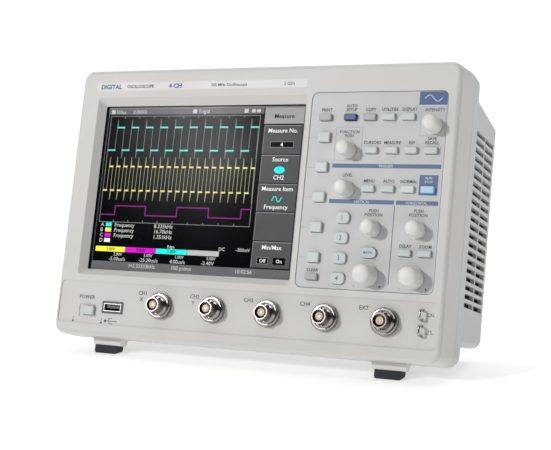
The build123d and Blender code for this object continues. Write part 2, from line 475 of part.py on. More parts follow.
def rear_cover():
    """Rear half of the casing, with side vents, fan grille, leg ears, handle lugs and screw posts."""
    start = RIM_Y + PARTING_GAP
    collar_back = (COLLAR_Y, COLLAR_WIDTH, COLLAR_HEIGHT, COLLAR_CORNER)
    collar = tapered((start, RIM_WIDTH, RIM_HEIGHT, RIM_CORNER), collar_back)
    collar = rounded(collar, COLLAR_EDGE_RADIUS, -1)
    outer = collar + rounded(hump((HUMP_FRONT_Y, REAR_Y), 0.0), HUMP_EDGE_RADIUS, -1)
    skids = []
    for side in (-1, 1):
        skid_x = sorted(side * x for x in SKID_XS)
        skids.append(block(skid_x, SKID_YS, (SKID_BOTTOM_Z, HUMP_FRONT_BOTTOM + 3.0)))
    lip_corner, inside_y = RIM_CORNER - WALL, COLLAR_Y - WALL
    lip = slab((LIP_WIDTH, LIP_HEIGHT), lip_corner, (RIM_Y - LIP_DEPTH, inside_y), 0.0, CASE_MID_Z)
    inner_lip = (LIP_WIDTH - 2 * LIP_WALL, LIP_HEIGHT - 2 * LIP_WALL)
    collar_space = slab(inner_lip, lip_corner - LIP_WALL, (0.0, inside_y), 0.0, CASE_MID_Z)
    shell = outer + lip + skids - collar_space - hump((RIM_Y, REAR_Y - WALL), WALL)

    ears = []
    for x in LEG_XS.values():
        for side in (-1, 1):
            inside = LEG_TOP_HALF + EAR_GAP
            ear_x = sorted((x + side * inside, x + side * (inside + EAR_THICK)))
            ear_y = (LEG_PIVOT_Y - EAR_REACH, COLLAR_Y - 1.0)
            ears.append(block(ear_x, ear_y, (EAR_BOTTOM_Z, LEG_PIVOT_Z + EAR_REACH)))
    lugs, lug_holes = [], []
    for side in (-1, 1):
        inner = HANDLE_HALF + HANDLE_LUG_GAP
        lug_x = sorted((side * inner, side * (inner + HANDLE_LUG_THICK)))
        lugs.append(cross_rod(HANDLE_LUG_RADIUS, lug_x, HANDLE_PIVOT_Y, HANDLE_PIVOT_Z))
        y = (HANDLE_PIVOT_Y - HANDLE_LUG_RADIUS, HANDLE_PIVOT_Y + HANDLE_LUG_RADIUS)
        lugs.append(block(lug_x, y, (HUMP_REAR_TOP, HANDLE_PIVOT_Z)))
        bore_x = (lug_x[0] - 0.1, lug_x[1] - 1.0) if side > 0 else (lug_x[0] + 1.0, lug_x[1] + 0.1)
        lug_holes.append(
            cross_rod(HANDLE_TRUNNION_RADIUS + RUNNING_CLEARANCE, bore_x, HANDLE_PIVOT_Y, HANDLE_PIVOT_Z)
        )
    posts = [rod(POST_RADIUS, (POST_FRONT_Y, REAR_Y - 1.0), x, z) for x in POST_XS for z in POST_ZS]
    body = shell + ears + lugs + posts

    vents = []
    for row in range(VENT_ROWS):
        z = VENT_BOTTOM_Z + row * VENT_PITCH
        for side in (-1, 1):
            x = sorted((side * (HUMP_FRONT_WIDTH / 2 + 3), side * (HUMP_REAR_WIDTH / 2 - WALL - 3)))
            vents += [block(x, column, (z - VENT_HEIGHT / 2, z + VENT_HEIGHT / 2)) for column in VENT_COLUMNS]
    grille = []
    through_y, slot_half = (REAR_Y - WALL - 1, REAR_Y + 1), GRILLE_SLOT_HEIGHT / 2
    for row in range(GRILLE_ROWS):
        z = FAN_Z + (row - (GRILLE_ROWS - 1) / 2) * VENT_PITCH
        half = (FAN_BORE**2 - (z - FAN_Z) ** 2) ** 0.5
        grille.append(block((FAN_X - half, FAN_X + half), through_y, (z - slot_half, z + slot_half)))
    pivot_radius, pivot_reach = LEG_TRUNNION_RADIUS + RUNNING_CLEARANCE, LEG_TOP_HALF + EAR_REACH + 1.5
    pivot_holes = [
        cross_rod(pivot_radius, (x - pivot_reach, x + pivot_reach), LEG_PIVOT_Y, LEG_PIVOT_Z)
        for x in LEG_XS.values()
    ]
    pockets = [leg_pocket(x, COLLAR_Y + 6) for x in LEG_XS.values()]
    rear_y = (REAR_Y - 6, REAR_Y + 1)
    inlet_hole = slab((INLET_BODY[0] + 0.4, INLET_BODY[1] + 0.4), 1.0, rear_y, INLET_X, INLET_Z)
    io_hole = slab((IO_PLATE_SIZE[0] - 6, IO_PLATE_SIZE[1] - 6), 1.0, rear_y, IO_PLATE_X, IO_PLATE_Z)
    places = [(x, z) for x in POST_XS for z in POST_ZS]
    head_space = [rod(SCREW_HEAD_RADIUS + 0.4, (SCREW_SEAT_Y, REAR_Y + 1), x, z) for x, z in places]
    screw_holes = [rod(SCREW_RADIUS + 0.2, (POST_FRONT_Y - 1, SCREW_SEAT_Y + 1), x, z) for x, z in places]
    cuts = vents + grille + pivot_holes + pockets + [inlet_hole, io_hole] + head_space + screw_holes + lug_holes
    return body - cuts


def carrying_handle():
    """Bow-shaped handle with trunnions, lying behind the collar."""
    thick = HANDLE_THICK / 2
    low = HANDLE_PIVOT_Z - thick
    bar_front, bar_back = HANDLE_BAR_Y - HANDLE_BAR / 2, HANDLE_BAR_Y + HANDLE_BAR / 2
    outline = (
        (HANDLE_PIVOT_Y, HANDLE_PIVOT_Z + thick),
        (HANDLE_PIVOT_Y, low),
        (bar_front, low - HANDLE_DROP + 1.5),
        (bar_back, low - HANDLE_DROP),
        (bar_back, low - HANDLE_DROP + HANDLE_THICK + 1.0),
    )
    bow = side_profile(outline, (-HANDLE_HALF, HANDLE_HALF))
    bow += cross_rod(thick, (-HANDLE_HALF, HANDLE_HALF), HANDLE_PIVOT_Y, HANDLE_PIVOT_Z)
    inside = HANDLE_HALF - HANDLE_ARM
    gap = block((-inside, inside), (HANDLE_PIVOT_Y - 10, bar_front), (low - 20, low + 30))
    bow = bow - fillet(gap.edges().filter_by(Axis.Z).sort_by(Axis.Y)[-2:], HANDLE_INNER_RADIUS)
    bow = fillet(bow.edges().filter_by(Axis.Z).sort_by(Axis.Y)[-2:], HANDLE_OUTER_RADIUS)
    reach = HANDLE_HALF + HANDLE_LUG_GAP + HANDLE_LUG_THICK - 1.4
    ends = []
    for side in (-1, 1):
        end_x = sorted((side * (HANDLE_HALF - 1), side * reach))
        ends.append(cross_rod(HANDLE_TRUNNION_RADIUS, end_x, HANDLE_PIVOT_Y, HANDLE_PIVOT_Z))
    return bow + ends


def rear_feet():
    """Two rubber feet under the hump, soles on the table, and four bumpers on the rear face."""
    solids = []
    front, back = REAR_FOOT_YS
    for x in REAR_FOOT_XS:
        outline = (
            (front, HUMP_REAR_BOTTOM - 0.5),
            (front, floor_z(front)),
            (back, floor_z(back)),
            (back, HUMP_REAR_BOTTOM - 0.15),
        )
        solids.append(side_profile(outline, (x - REAR_FOOT_HALF, x + REAR_FOOT_HALF)))
    for side in (-1, 1):
        for low, high in BUMPER_ZS:
            size = (2 * BUMPER_HALF_WIDTH, high - low)
            bumper = slab(size, 4.0, (REAR_Y, REAR_Y + BUMPER_REACH), side * BUMPER_X, (low + high) / 2)
            solids.append(rounded(bumper, 1.2, -1))
    return solids


def mains_inlet():
    """Three-pin appliance inlet with its flange and blades."""
    flange_y = (REAR_Y, REAR_Y + INLET_FLANGE_THICK)
    flange = slab(INLET_FLANGE, 2.0, flange_y, INLET_X, INLET_Z)
    mouth_y = flange_y[1]
    body = slab(INLET_BODY, 1.0, (mouth_y - INLET_DEPTH - 4.0, REAR_Y), INLET_X, INLET_Z)
    cavity = slab(INLET_MOUTH, 2.0, (mouth_y - INLET_DEPTH, mouth_y + 1.0), INLET_X, INLET_Z)
    housing = flange + body - cavity
    blade_y = (mouth_y - INLET_DEPTH, mouth_y - BLADE_RECESS)
    blades = [slab(BLADE_SIZE, 0, blade_y, INLET_X + x, INLET_Z + z) for x, z in BLADE_PLACES]
    return [housing + blades]


def rear_io_plate():
    """Metal plate with the openings of the rear sockets, screwed flush on the rear face."""
    width, height = IO_PLATE_SIZE
    plate = slab(IO_PLATE_SIZE, 2.0, (REAR_Y, REAR_Y + IO_PLATE_THICK), IO_PLATE_X, IO_PLATE_Z)
    sockets = slab((width - 8, height - 8), 1.0, (REAR_Y - IO_BLOCK_DEPTH, REAR_Y), IO_PLATE_X, IO_PLATE_Z)
    out = REAR_Y + 2
    network = slab(NETWORK_SOCKET, 0.5, (REAR_Y - NETWORK_DEPTH, out), IO_PLATE_X - IO_PITCH, IO_PLATE_Z)
    device = slab(DEVICE_SOCKET, 0.5, (REAR_Y - DEVICE_DEPTH, out), IO_PLATE_X, IO_PLATE_Z)
    output = rod(OUTPUT_RADIUS, (REAR_Y - OUTPUT_DEPTH, out), IO_PLATE_X + IO_PITCH, IO_PLATE_Z)
    return plate + sockets - network - device - output


# ---------------------------------------------------------------- inside
def chassis_plate():
    """Sheet-metal plate across the casing with a folded top and bottom edge."""
    x, (low, high) = (-CHASSIS_HALF, CHASSIS_HALF), CHASSIS_ZS
    plate = block(x, (CHASSIS_Y, CHASSIS_Y + CHASSIS_THICK), CHASSIS_ZS)
    fold_y = (CHASSIS_Y, CHASSIS_Y + CHASSIS_FOLD)
    folds = [block(x, fold_y, (z, z + CHASSIS_THICK)) for z in (low, high - CHASSIS_THICK)]
    hole_y = (CHASSIS_Y - 1, CHASSIS_Y + CHASSIS_THICK + 1)
    openings = [rod(CABLE_HOLE_RADIUS, hole_y, hole_x, CABLE_HOLE_Z) for hole_x in CABLE_HOLE_XS]
    return plate + folds - openings


def main_board():
    """Acquisition board with its shielding cans and heat sink."""
    back = BOARD_Y + BOARD_THICK
    board = block(BOARD_XS, (BOARD_Y, back), BOARD_ZS)
    cans = [block((x, x + CAN_WIDTH), (back, CAN_BACK_Y), CAN_ZS) for x in CAN_XS]
    sink = block(SINK_XS, (back, SINK_BACK_Y), SINK_ZS)
    fins = []
    fin_y, fin_z = (back + FIN_ROOT, SINK_BACK_Y + 1), (SINK_ZS[0] - 1, SINK_ZS[1] + 1)
    for i in range(FIN_COUNT):
        x = SINK_XS[0] + FIN_SLOT / 2 + i * FIN_PITCH
        fins.append(block((x, x + FIN_SLOT), fin_y, fin_z))
    return board + cans + (sink - fins)


def power_supply():
    """Boxed supply with slots in its cover."""
    box = block(*SUPPLY_BOX)
    (x0, x1), (y0, _), (z0, _) = SUPPLY_BOX
    x, y = (x0 + SUPPLY_MARGIN, x1 - SUPPLY_MARGIN), (y0 - 1, y0 + 1.2)
    slots = []
    for i in range(SUPPLY_SLOTS):
        z = z0 + SUPPLY_MARGIN + i * SUPPLY_SLOT_PITCH
        slots.append(block(x, y, (z, z + SUPPLY_SLOT_HEIGHT)))
    return box - slots


def fan_frame():
    """Square fan frame with three struts and the bearing boss."""
    frame = slab((FAN_SIDE, FAN_SIDE), 3.0, (FAN_FRONT_Y, FAN_BACK_Y), FAN_X, FAN_Z)
    frame -= rod(FAN_BORE, (FAN_FRONT_Y - 1, FAN_BACK_Y + 1), FAN_X, FAN_Z)
    boss_y = (FAN_BACK_Y - 3.0, FAN_BACK_Y)
    spokes = rod(FAN_HUB, boss_y, FAN_X, FAN_Z)
    for i in range(3):
        strut = block((0, FAN_BORE + 0.5), (FAN_BACK_Y - 2.0, FAN_BACK_Y), (-1.5, 1.5))
        spokes += Pos(FAN_X, 0, FAN_Z) * Rot(0, 120 * i + 30, 0) * strut
    bearing = rod(FAN_SHAFT_RADIUS + RUNNING_CLEARANCE, (FAN_BACK_Y - 4, FAN_BACK_Y + 1), FAN_X, FAN_Z)
    return frame + spokes - bearing


def fan_rotor():
    """Hub with seven pitched blades and its shaft."""
    hub_y = (FAN_FRONT_Y + 0.5, FAN_BACK_Y - 3.4)
    rotor = rod(FAN_HUB, hub_y, 0, 0) + rod(FAN_SHAFT_RADIUS, (hub_y[1] - 1, FAN_BACK_Y - 0.3), 0, 0)
    middle = (hub_y[0] + hub_y[1]) / 2
    for i in range(FAN_BLADES):
        blade = Pos((FAN_HUB + FAN_TIP) / 2 - 0.6, 0, 0) * Rot(38, 0, 0) * Box(FAN_TIP - FAN_HUB, 12.5, 1.2)
        rotor += Rot(0, 360 / FAN_BLADES * i, 0) * Pos(0, middle, 0) * blade
    return Pos(FAN_X, 0, FAN_Z) * rotor


def case_screws():
    """Four screws that hold the rear cover to the bezel's bosses."""
    return [
        rod(SCREW_RADIUS, (SCREW_SEAT_Y - SCREW_LENGTH, SCREW_SEAT_Y), x, z)
        + rod(SCREW_HEAD_RADIUS, (SCREW_SEAT_Y, SCREW_SEAT_Y + SCREW_HEAD_HEIGHT), x, z)
        for x in POST_XS
        for z in POST_ZS
    ]


# ---------------------------------------------------------------- assembly
def all_nodes():
    """Every sub-part by name, in the panel frame."""
    nodes = {
        "front_bezel": front_bezel(),
        "rear_cover": rear_cover(),
        "control_panel": control_panel(),
        "display_window": display_window(),
        "display_module": display_module(),
        "key_board": key_board(),
        "key_switches": key_switches(),
        "rotary_encoders": rotary_encoders(),
        "main_board": main_board(),
        "power_supply": power_supply(),
        "chassis_plate": chassis_plate(),
        "fan_frame": fan_frame(),
        "fan_rotor": fan_rotor(),
        "bnc_shells": [bnc_shell(x) for x in bnc_xs()],
        "bnc_cores": [solid for x in bnc_xs() for solid in bnc_core(x)],
        "usb_socket": usb_socket(),
        "calibrator_hooks": [calibrator_hook(z) for z in HOOK_ZS],
        "rear_io_plate": rear_io_plate(),
        "mains_inlet": mains_inlet(),
        "rear_feet": rear_feet(),
        "case_screws": case_screws(),
        "carrying_handle": carrying_handle(),
        "power_key": key(POWER_X, POWER_Z, POWER_SIZE, KEY_CORNER, POWER_FRONT_Y, WALL, POWER_TRAVEL),
    }
    for name, (x, z, size, corner, front_y) in KEYS.items():
        nodes[name] = key(x, z, size, corner, front_y, PANEL_BACK_Y, KEY_TRAVEL)
    for name, place in KNOBS.items():
        nodes[name] = knob(*place)
    for side, x in LEG_XS.items():
        nodes[f"tilt_leg_{side}"] = tilt_leg(x)
        nodes[f"leg_pad_{side}"] = leg_pad(x)
    return {name: shape if isinstance(shape, list) else [shape] for name, shape in nodes.items()}


def solids_of(shapes):
    """The separate solids of a list of shapes."""
    return [solid for shape in shapes for solid in shape.solids()]


def placement(nodes):
    """Leans the instrument back, then puts the middle of its footprint's box on the origin, on the table."""
    lean = Rot(-LEAN_DEG, 0, 0)
    boxes = [(lean * solid).bounding_box() for shapes in nodes.values() for solid in solids_of(shapes)]
    low = [min(getattr(box.min, axis) for box in boxes) for axis in "XYZ"]
    high = [max(getattr(box.max, axis) for box in boxes) for axis in "XYZ"]
    return Pos(-(low[0] + high[0]) / 2, -(low[1] + high[1]) / 2, -low[2]) * lean


NODES = all_nodes()
PLACE = placement(NODES)

if __name__ == "__main__":
    os.makedirs("parts", exist_ok=True)
    for node, pieces in NODES.items():
        export_step(Compound(children=[PLACE * solid for solid in solids_of(pieces)]), f"parts/{node}.step")
    print(len(NODES), "nodes; panel frame's origin lies at", PLACE.position)
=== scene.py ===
"""Looks of a bench oscilloscope: finishes, printed legends, the lit display, knobs, stage, light and camera.

Everything is drawn in the panel frame, in millimetres: X to the right as seen from the front, measured from
the casing's middle, Y backwards from the flat of the front face, and Z up along that face from the casing's
bottom edge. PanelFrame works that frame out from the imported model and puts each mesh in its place.
"""

from __future__ import annotations

import json
import logging
import math
from dataclasses import dataclass, field
from enum import Enum
from typing import Iterable, Sequence

import bmesh
import bpy
from mathutils import Matrix, Vector

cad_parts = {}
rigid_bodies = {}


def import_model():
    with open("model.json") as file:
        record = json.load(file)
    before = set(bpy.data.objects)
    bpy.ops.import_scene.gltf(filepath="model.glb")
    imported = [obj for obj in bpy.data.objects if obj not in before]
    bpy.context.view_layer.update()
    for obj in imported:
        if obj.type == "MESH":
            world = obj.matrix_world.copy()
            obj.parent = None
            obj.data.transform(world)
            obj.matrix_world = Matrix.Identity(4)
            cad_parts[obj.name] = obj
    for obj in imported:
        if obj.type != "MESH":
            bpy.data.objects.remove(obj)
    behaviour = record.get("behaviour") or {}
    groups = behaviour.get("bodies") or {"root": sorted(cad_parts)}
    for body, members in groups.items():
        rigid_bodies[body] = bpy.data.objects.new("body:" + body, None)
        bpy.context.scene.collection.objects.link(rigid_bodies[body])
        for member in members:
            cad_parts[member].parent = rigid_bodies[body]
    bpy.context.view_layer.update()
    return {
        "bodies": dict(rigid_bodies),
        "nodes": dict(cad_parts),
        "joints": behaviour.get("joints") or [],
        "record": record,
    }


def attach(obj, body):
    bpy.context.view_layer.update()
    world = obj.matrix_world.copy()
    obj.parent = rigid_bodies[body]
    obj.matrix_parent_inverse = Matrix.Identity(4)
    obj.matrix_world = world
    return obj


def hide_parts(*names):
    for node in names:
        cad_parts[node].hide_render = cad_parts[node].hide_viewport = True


LOG = logging.getLogger("oscilloscope")
MM = 0.001
INK_THICK = 0.04
SMOOTH_CORNER_DEG = 35.0
CASE = "case"
Point = tuple[float, float]
Color = tuple[float, float, float]


def srgb(red: float, green: float, blue: float) -> Color:
    """Turns 0 to 255 display values into the linear values that shaders take.

    Args:
        red: Red, 0 to 255.
        green: Green, 0 to 255.
        blue: Blue, 0 to 255.

    Returns:
        The linear colour.
    """
    def linear(value: float) -> float:
        """One channel, by the display's own curve."""
        share = value / 255
        return share / 12.92 if share <= 0.04045 else ((share + 0.055) / 1.055) ** 2.4

    return linear(red), linear(green), linear(blue)


# ------------------------------------------------------------------------------------------------ finishes
class Surface(Enum):
    """How a finish's fine surface is made."""

    MOULDED = "moulded"
    BRUSHED = "brushed"
    POLISHED = "polished"
    PLAIN = "plain"


@dataclass(frozen=True)
class Grain:
    """A fine surface made of noise: a shader group that puts out colour, roughness and height."""

    name: str
    stretch: tuple[float, float, float]
    detail: float
    rough_spread: float
    cloud_scale: float = 0.0
    cloud_detail: float = 4.0

    def sockets(self) -> tuple[bpy.types.NodeTree, bpy.types.Node, bpy.types.Node]:
        """Makes the empty group with its named sockets.

        Returns:
            The group, its input node and its output node.
        """
        group = bpy.data.node_groups.new(self.name, "ShaderNodeTree")
        entries = (("Base", "Color"), ("Roughness", "Float"), ("Mottle", "Float"), ("Scale", "Float"))
        for label, kind in entries:
            group.interface.new_socket(label, in_out="INPUT", socket_type=f"NodeSocket{kind}")
        for label, kind in (("Color", "Color"), ("Roughness", "Float"), ("Height", "Float")):
            group.interface.new_socket(label, in_out="OUTPUT", socket_type=f"NodeSocket{kind}")
        return group, group.nodes.new("NodeGroupInput"), group.nodes.new("NodeGroupOutput")

    def build(self) -> None:
        """Fills the group: a noise for the height, and that noise or a softer cloud for tint and roughness."""
        group, entry, out = self.sockets()
        nodes, links = group.nodes, group.links
        place = nodes.new("ShaderNodeTexCoord")
        drawn = nodes.new("ShaderNodeMapping")
        drawn.inputs["Scale"].default_value = self.stretch
        grain = nodes.new("ShaderNodeTexNoise")
        grain.inputs["Detail"].default_value = self.detail
        links.new(place.outputs["Object"], drawn.inputs["Vector"])
        links.new(drawn.outputs["Vector"], grain.inputs["Vector"])
        links.new(entry.outputs["Scale"], grain.inputs["Scale"])
        tint = grain
        if self.cloud_scale:
            tint = nodes.new("ShaderNodeTexNoise")
            tint.inputs["Scale"].default_value = self.cloud_scale
            tint.inputs["Detail"].default_value = self.cloud_detail
            links.new(place.outputs["Object"], tint.inputs["Vector"])
        centred, tinted, rough = (nodes.new("ShaderNodeMath") for _ in range(3))
        centred.operation = "SUBTRACT"
        centred.inputs[1].default_value = 0.5
        links.new(tint.outputs["Fac"], centred.inputs[0])
        tinted.operation = rough.operation = "MULTIPLY_ADD"
        tinted.inputs[2].default_value = 1.0
        links.new(centred.outputs[0], tinted.inputs[0])
        links.new(entry.outputs["Mottle"], tinted.inputs[1])
        shaded = nodes.new("ShaderNodeVectorMath")
        shaded.operation = "SCALE"
        links.new(entry.outputs["Base"], shaded.inputs[0])
        links.new(tinted.outputs[0], shaded.inputs["Scale"])
        rough.inputs[1].default_value = self.rough_spread
        links.new(centred.outputs[0], rough.inputs[0])
        links.new(entry.outputs["Roughness"], rough.inputs[2])
        links.new(shaded.outputs[0], out.inputs["Color"])
        links.new(rough.outputs[0], out.inputs["Roughness"])
        links.new(grain.outputs["Fac"], out.inputs["Height"])


MOULDED_GRAIN = Grain("moulded_grain", (1.0, 1.0, 1.0), 3.0, 0.18, cloud_scale=22.0)
BRUSHED_GRAIN = Grain("brushed_grain", (0.04, 1.0, 1.0), 5.0, 0.25)


@dataclass(frozen=True)
class Finish:
    """One finish of the instrument: its colour, gloss and fine surface."""

    name: str
    color: Color
    roughness: float = 0.5
    surface: Surface = Surface.MOULDED
    mottle: float = 0.05
    scale: float = 1500.0
    bump: float = 0.05
    metallic: float = 0.0
    specular: float = 0.5
    alpha: float = 1.0
    emission: float = 0.0

    def material(self) -> bpy.types.Material:
        """Builds the material once and returns it."""
        title = f"{self.name}_finish"
        found = bpy.data.materials.get(title)
        if found:
            return found
        made = bpy.data.materials.new(title)
        made.use_nodes = True
        nodes, links = made.node_tree.nodes, made.node_tree.links
        shader = nodes["Principled BSDF"]
        shader.inputs["Metallic"].default_value = self.metallic
        shader.inputs["Specular IOR Level"].default_value = self.specular
        shader.inputs["Alpha"].default_value = self.alpha
        if self.emission:
            shader.inputs["Emission Color"].default_value = (*self.color, 1)
            shader.inputs["Emission Strength"].default_value = self.emission
        grain = BRUSHED_GRAIN if self.surface is Surface.BRUSHED else MOULDED_GRAIN
        detail = nodes.new("ShaderNodeGroup")
        detail.node_tree = bpy.data.node_groups[grain.name]
        detail.inputs["Base"].default_value = (*self.color, 1)
        detail.inputs["Roughness"].default_value = self.roughness
        detail.inputs["Mottle"].default_value = self.mottle
        detail.inputs["Scale"].default_value = self.scale
        links.new(detail.outputs["Color"], shader.inputs["Base Color"])
        links.new(detail.outputs["Roughness"], shader.inputs["Roughness"])
        if self.surface in (Surface.MOULDED, Surface.BRUSHED):
            bump = nodes.new("ShaderNodeBump")
            bump.inputs["Strength"].default_value = self.bump
            bump.inputs["Distance"].default_value = 0.0001
            links.new(detail.outputs["Height"], bump.inputs["Height"])
            links.new(bump.outputs["Normal"], shader.inputs["Normal"])
        return made


CASE_FRONT = Finish("case_front", srgb(209, 207, 203), 0.48, mottle=0.05, bump=0.12)
# Rear cover and handle: a little darker than the front, partly the cover's own tone and partly painted shade
# for the less light that its faces get.
CASE_REAR_TONE_AND_SHADE = Finish("case_rear", srgb(198, 200, 196), 0.52, mottle=0.06, bump=0.15)
PANEL_FACE = Finish("panel_face", srgb(193, 194, 193), 0.42, mottle=0.04, bump=0.06)
WINDOW_CLEAR = Finish(
    "window_clear", srgb(6, 7, 8), 0.12, Surface.PLAIN, mottle=0.02, alpha=0.06, specular=0.07
)
DISPLAY_BLACK = Finish("display_black", srgb(14, 14, 16), 0.35, Surface.PLAIN)
BOARD_GREEN = Finish("board_green", srgb(24, 84, 52), 0.4, mottle=0.3, scale=600.0)
SWITCH_BLACK = Finish("switch_black", srgb(30, 30, 32), 0.5)
ENCODER_METAL = Finish("encoder_metal", srgb(170, 172, 175), 0.35, Surface.BRUSHED, metallic=1.0)
SUPPLY_METAL = Finish("supply_metal", srgb(60, 62, 64), 0.5, Surface.BRUSHED, metallic=1.0)
CHASSIS_STEEL = Finish("chassis_steel", srgb(70, 72, 74), 0.5, Surface.BRUSHED, metallic=1.0)
FAN_BLACK = Finish("fan_black", srgb(28, 28, 30), 0.45)
CHROME = Finish("socket_chrome", srgb(158, 152, 149), 0.26, Surface.POLISHED, mottle=0.12, metallic=1.0)
INSULATOR = Finish("socket_insulator", srgb(210, 190, 180), 0.4, mottle=0.04)
USB_BLACK = Finish("usb_black", srgb(26, 26, 30), 0.35, mottle=0.1)
HOOK_METAL = Finish("hook_metal", srgb(178, 178, 174), 0.25, Surface.BRUSHED, metallic=1.0)
PLATE_METAL = Finish("plate_metal", srgb(188, 190, 192), 0.32, Surface.BRUSHED, metallic=1.0)
INLET_BLACK = Finish("inlet_black", srgb(24, 24, 25), 0.4)
RUBBER = Finish("rubber_dark", srgb(34, 37, 46), 0.72, mottle=0.2, scale=900.0, bump=0.3)
SCREW_STEEL = Finish("screw_steel", srgb(150, 150, 152), 0.3, Surface.BRUSHED, metallic=1.0)
KEY_WHITE = Finish("key_white", srgb(196, 201, 201), 0.4, mottle=0.03, bump=0.05)
KEY_GRAY = Finish("key_gray", srgb(168, 168, 169), 0.42, mottle=0.05, bump=0.06)
KEY_BLUE = Finish("key_blue", srgb(40, 60, 110), 0.4, mottle=0.06, bump=0.06)
KEY_LIT = Finish("key_lit", srgb(160, 190, 214), 0.35, mottle=0.03, bump=0.04, emission=0.2)
KEY_GREEN = Finish("key_green", srgb(200, 214, 203), 0.4, mottle=0.03, bump=0.05, emission=0.03)
KNOB_WHITE = Finish("knob_white", srgb(222, 221, 217), 0.38, mottle=0.04, bump=0.08)
BRASS = Finish("contact_brass", srgb(214, 178, 112), 0.25, Surface.BRUSHED, metallic=1.0)
INK_DARK = Finish("ink_dark", srgb(62, 64, 74), 0.6, Surface.PLAIN, mottle=0.2, scale=900.0)
INK_BLUE = Finish("ink_blue", srgb(92, 108, 146), 0.5, Surface.PLAIN, mottle=0.08)
INK_BLUE_DEEP = Finish("ink_blue_deep", srgb(76, 98, 142), 0.5, Surface.PLAIN, mottle=0.08)
INK_PALE = Finish("ink_pale", srgb(196, 212, 232), 0.5, Surface.PLAIN, mottle=0.05)
INK_LINE = Finish("ink_line", srgb(150, 158, 178), 0.5, Surface.PLAIN, mottle=0.08)
STRIP_WHITE = Finish("title_white", srgb(214, 212, 210), 0.4, Surface.PLAIN, mottle=0.03)
TITLE_BLUE = Finish("title_blue", srgb(58, 78, 140), 0.5, Surface.PLAIN)
# Dark sheet behind the side vents: painted shade for the shaded inside of the vent slots.
VENT_SHADE_SHEET = Finish("vent_shade_sheet", srgb(26, 28, 30), 0.9, mottle=0.3, scale=2500.0, bump=0.5, specular=0.2)
SHELL_METAL = Finish("usb_shell_metal", srgb(206, 204, 200), 0.3, Surface.BRUSHED, metallic=0.6)
STUDIO_PAPER = Finish(
    "studio_paper", (0.74, 0.74, 0.74), 0.9, Surface.PLAIN, mottle=0.0, specular=0.0, emission=0.62
)
# Leg plastic, lighter than the front casing: painted light for the light that falls on the legs under the
# casing.
LEG_PAINTED_BRIGHT = Finish("leg_plastic_painted_bright", srgb(222, 221, 218), 0.48, mottle=0.05, bump=0.12)

NODE_FINISHES: dict[str, Finish] = {
    "front_bezel": CASE_FRONT,
    "rear_cover": CASE_REAR_TONE_AND_SHADE,
    "carrying_handle": CASE_REAR_TONE_AND_SHADE,
    "control_panel": PANEL_FACE,
    "display_window": WINDOW_CLEAR,
    "display_module": DISPLAY_BLACK,
    "key_board": BOARD_GREEN,
    "main_board": BOARD_GREEN,
    "key_switches": SWITCH_BLACK,
    "rotary_encoders": ENCODER_METAL,
    "power_supply": SUPPLY_METAL,
    "chassis_plate": CHASSIS_STEEL,
    "fan_frame": FAN_BLACK,
    "fan_rotor": FAN_BLACK,
    "bnc_shells": CHROME,
    "bnc_cores": INSULATOR,
    "usb_socket": USB_BLACK,
    "calibrator_hooks": HOOK_METAL,
    "rear_io_plate": PLATE_METAL,
    "mains_inlet": INLET_BLACK,
    "rear_feet": RUBBER,
    "case_screws": SCREW_STEEL,
    "tilt_leg_left": LEG_PAINTED_BRIGHT,
    "tilt_leg_right": LEG_PAINTED_BRIGHT,
    "leg_pad_left": RUBBER,
    "leg_pad_right": RUBBER,
    "print_key": KEY_GRAY,
    "copy_key": KEY_GRAY,
    "clear_key": KEY_GRAY,
    "auto_setup_key": KEY_BLUE,
    "run_stop_key": KEY_LIT,
    "normal_key": KEY_GREEN,
}


# ------------------------------------------------------------------------------------------------ frame
class PanelFrame:
    """The panel frame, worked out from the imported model, and the way of putting meshes in it."""

    def __init__(self, nodes: dict[str, bpy.types.Object], joints: Sequence[dict]) -> None:
        """Reads the panel's directions from a key's slide and its origin from the bezel.

        Args:
            nodes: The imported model's objects by name.
            joints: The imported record's joints.
        """
        slide = next(joint for joint in joints if joint["type"] == "slide")
        self.back = Vector(slide["axis"]).normalized()
        self.right = Vector((1, 0, 0))
        self.up = self.right.cross(self.back)
        self.nodes = nodes
        self.origin = Vector((0, 0, 0))
        low, high = self.extent("front_bezel")
        half_rim = 0.5
        self.origin = MM * (
            self.right * (low.x + high.x) / 2 + self.back * low.y + self.up * (low.z + half_rim)
        )
        axes = Matrix((self.right, self.back, self.up)).transposed().to_4x4()
        self.matrix = Matrix.Translation(self.origin) @ axes @ Matrix.Scale(MM, 4)

    def extent(self, node: str) -> tuple[Vector, Vector]:
        """Lowest and highest corner of a CAD node in the panel frame, in millimetres."""
        points = [vertex.co - self.origin for vertex in self.nodes[node].data.vertices]
        spans = [[point.dot(axis) / MM for point in points] for axis in (self.right, self.back, self.up)]
        return Vector([min(span) for span in spans]), Vector([max(span) for span in spans])

    def middle(self, node: str) -> Vector:
        """Middle of a CAD node's box in the panel frame, in millimetres."""
        low, high = self.extent(node)
        return (low + high) / 2


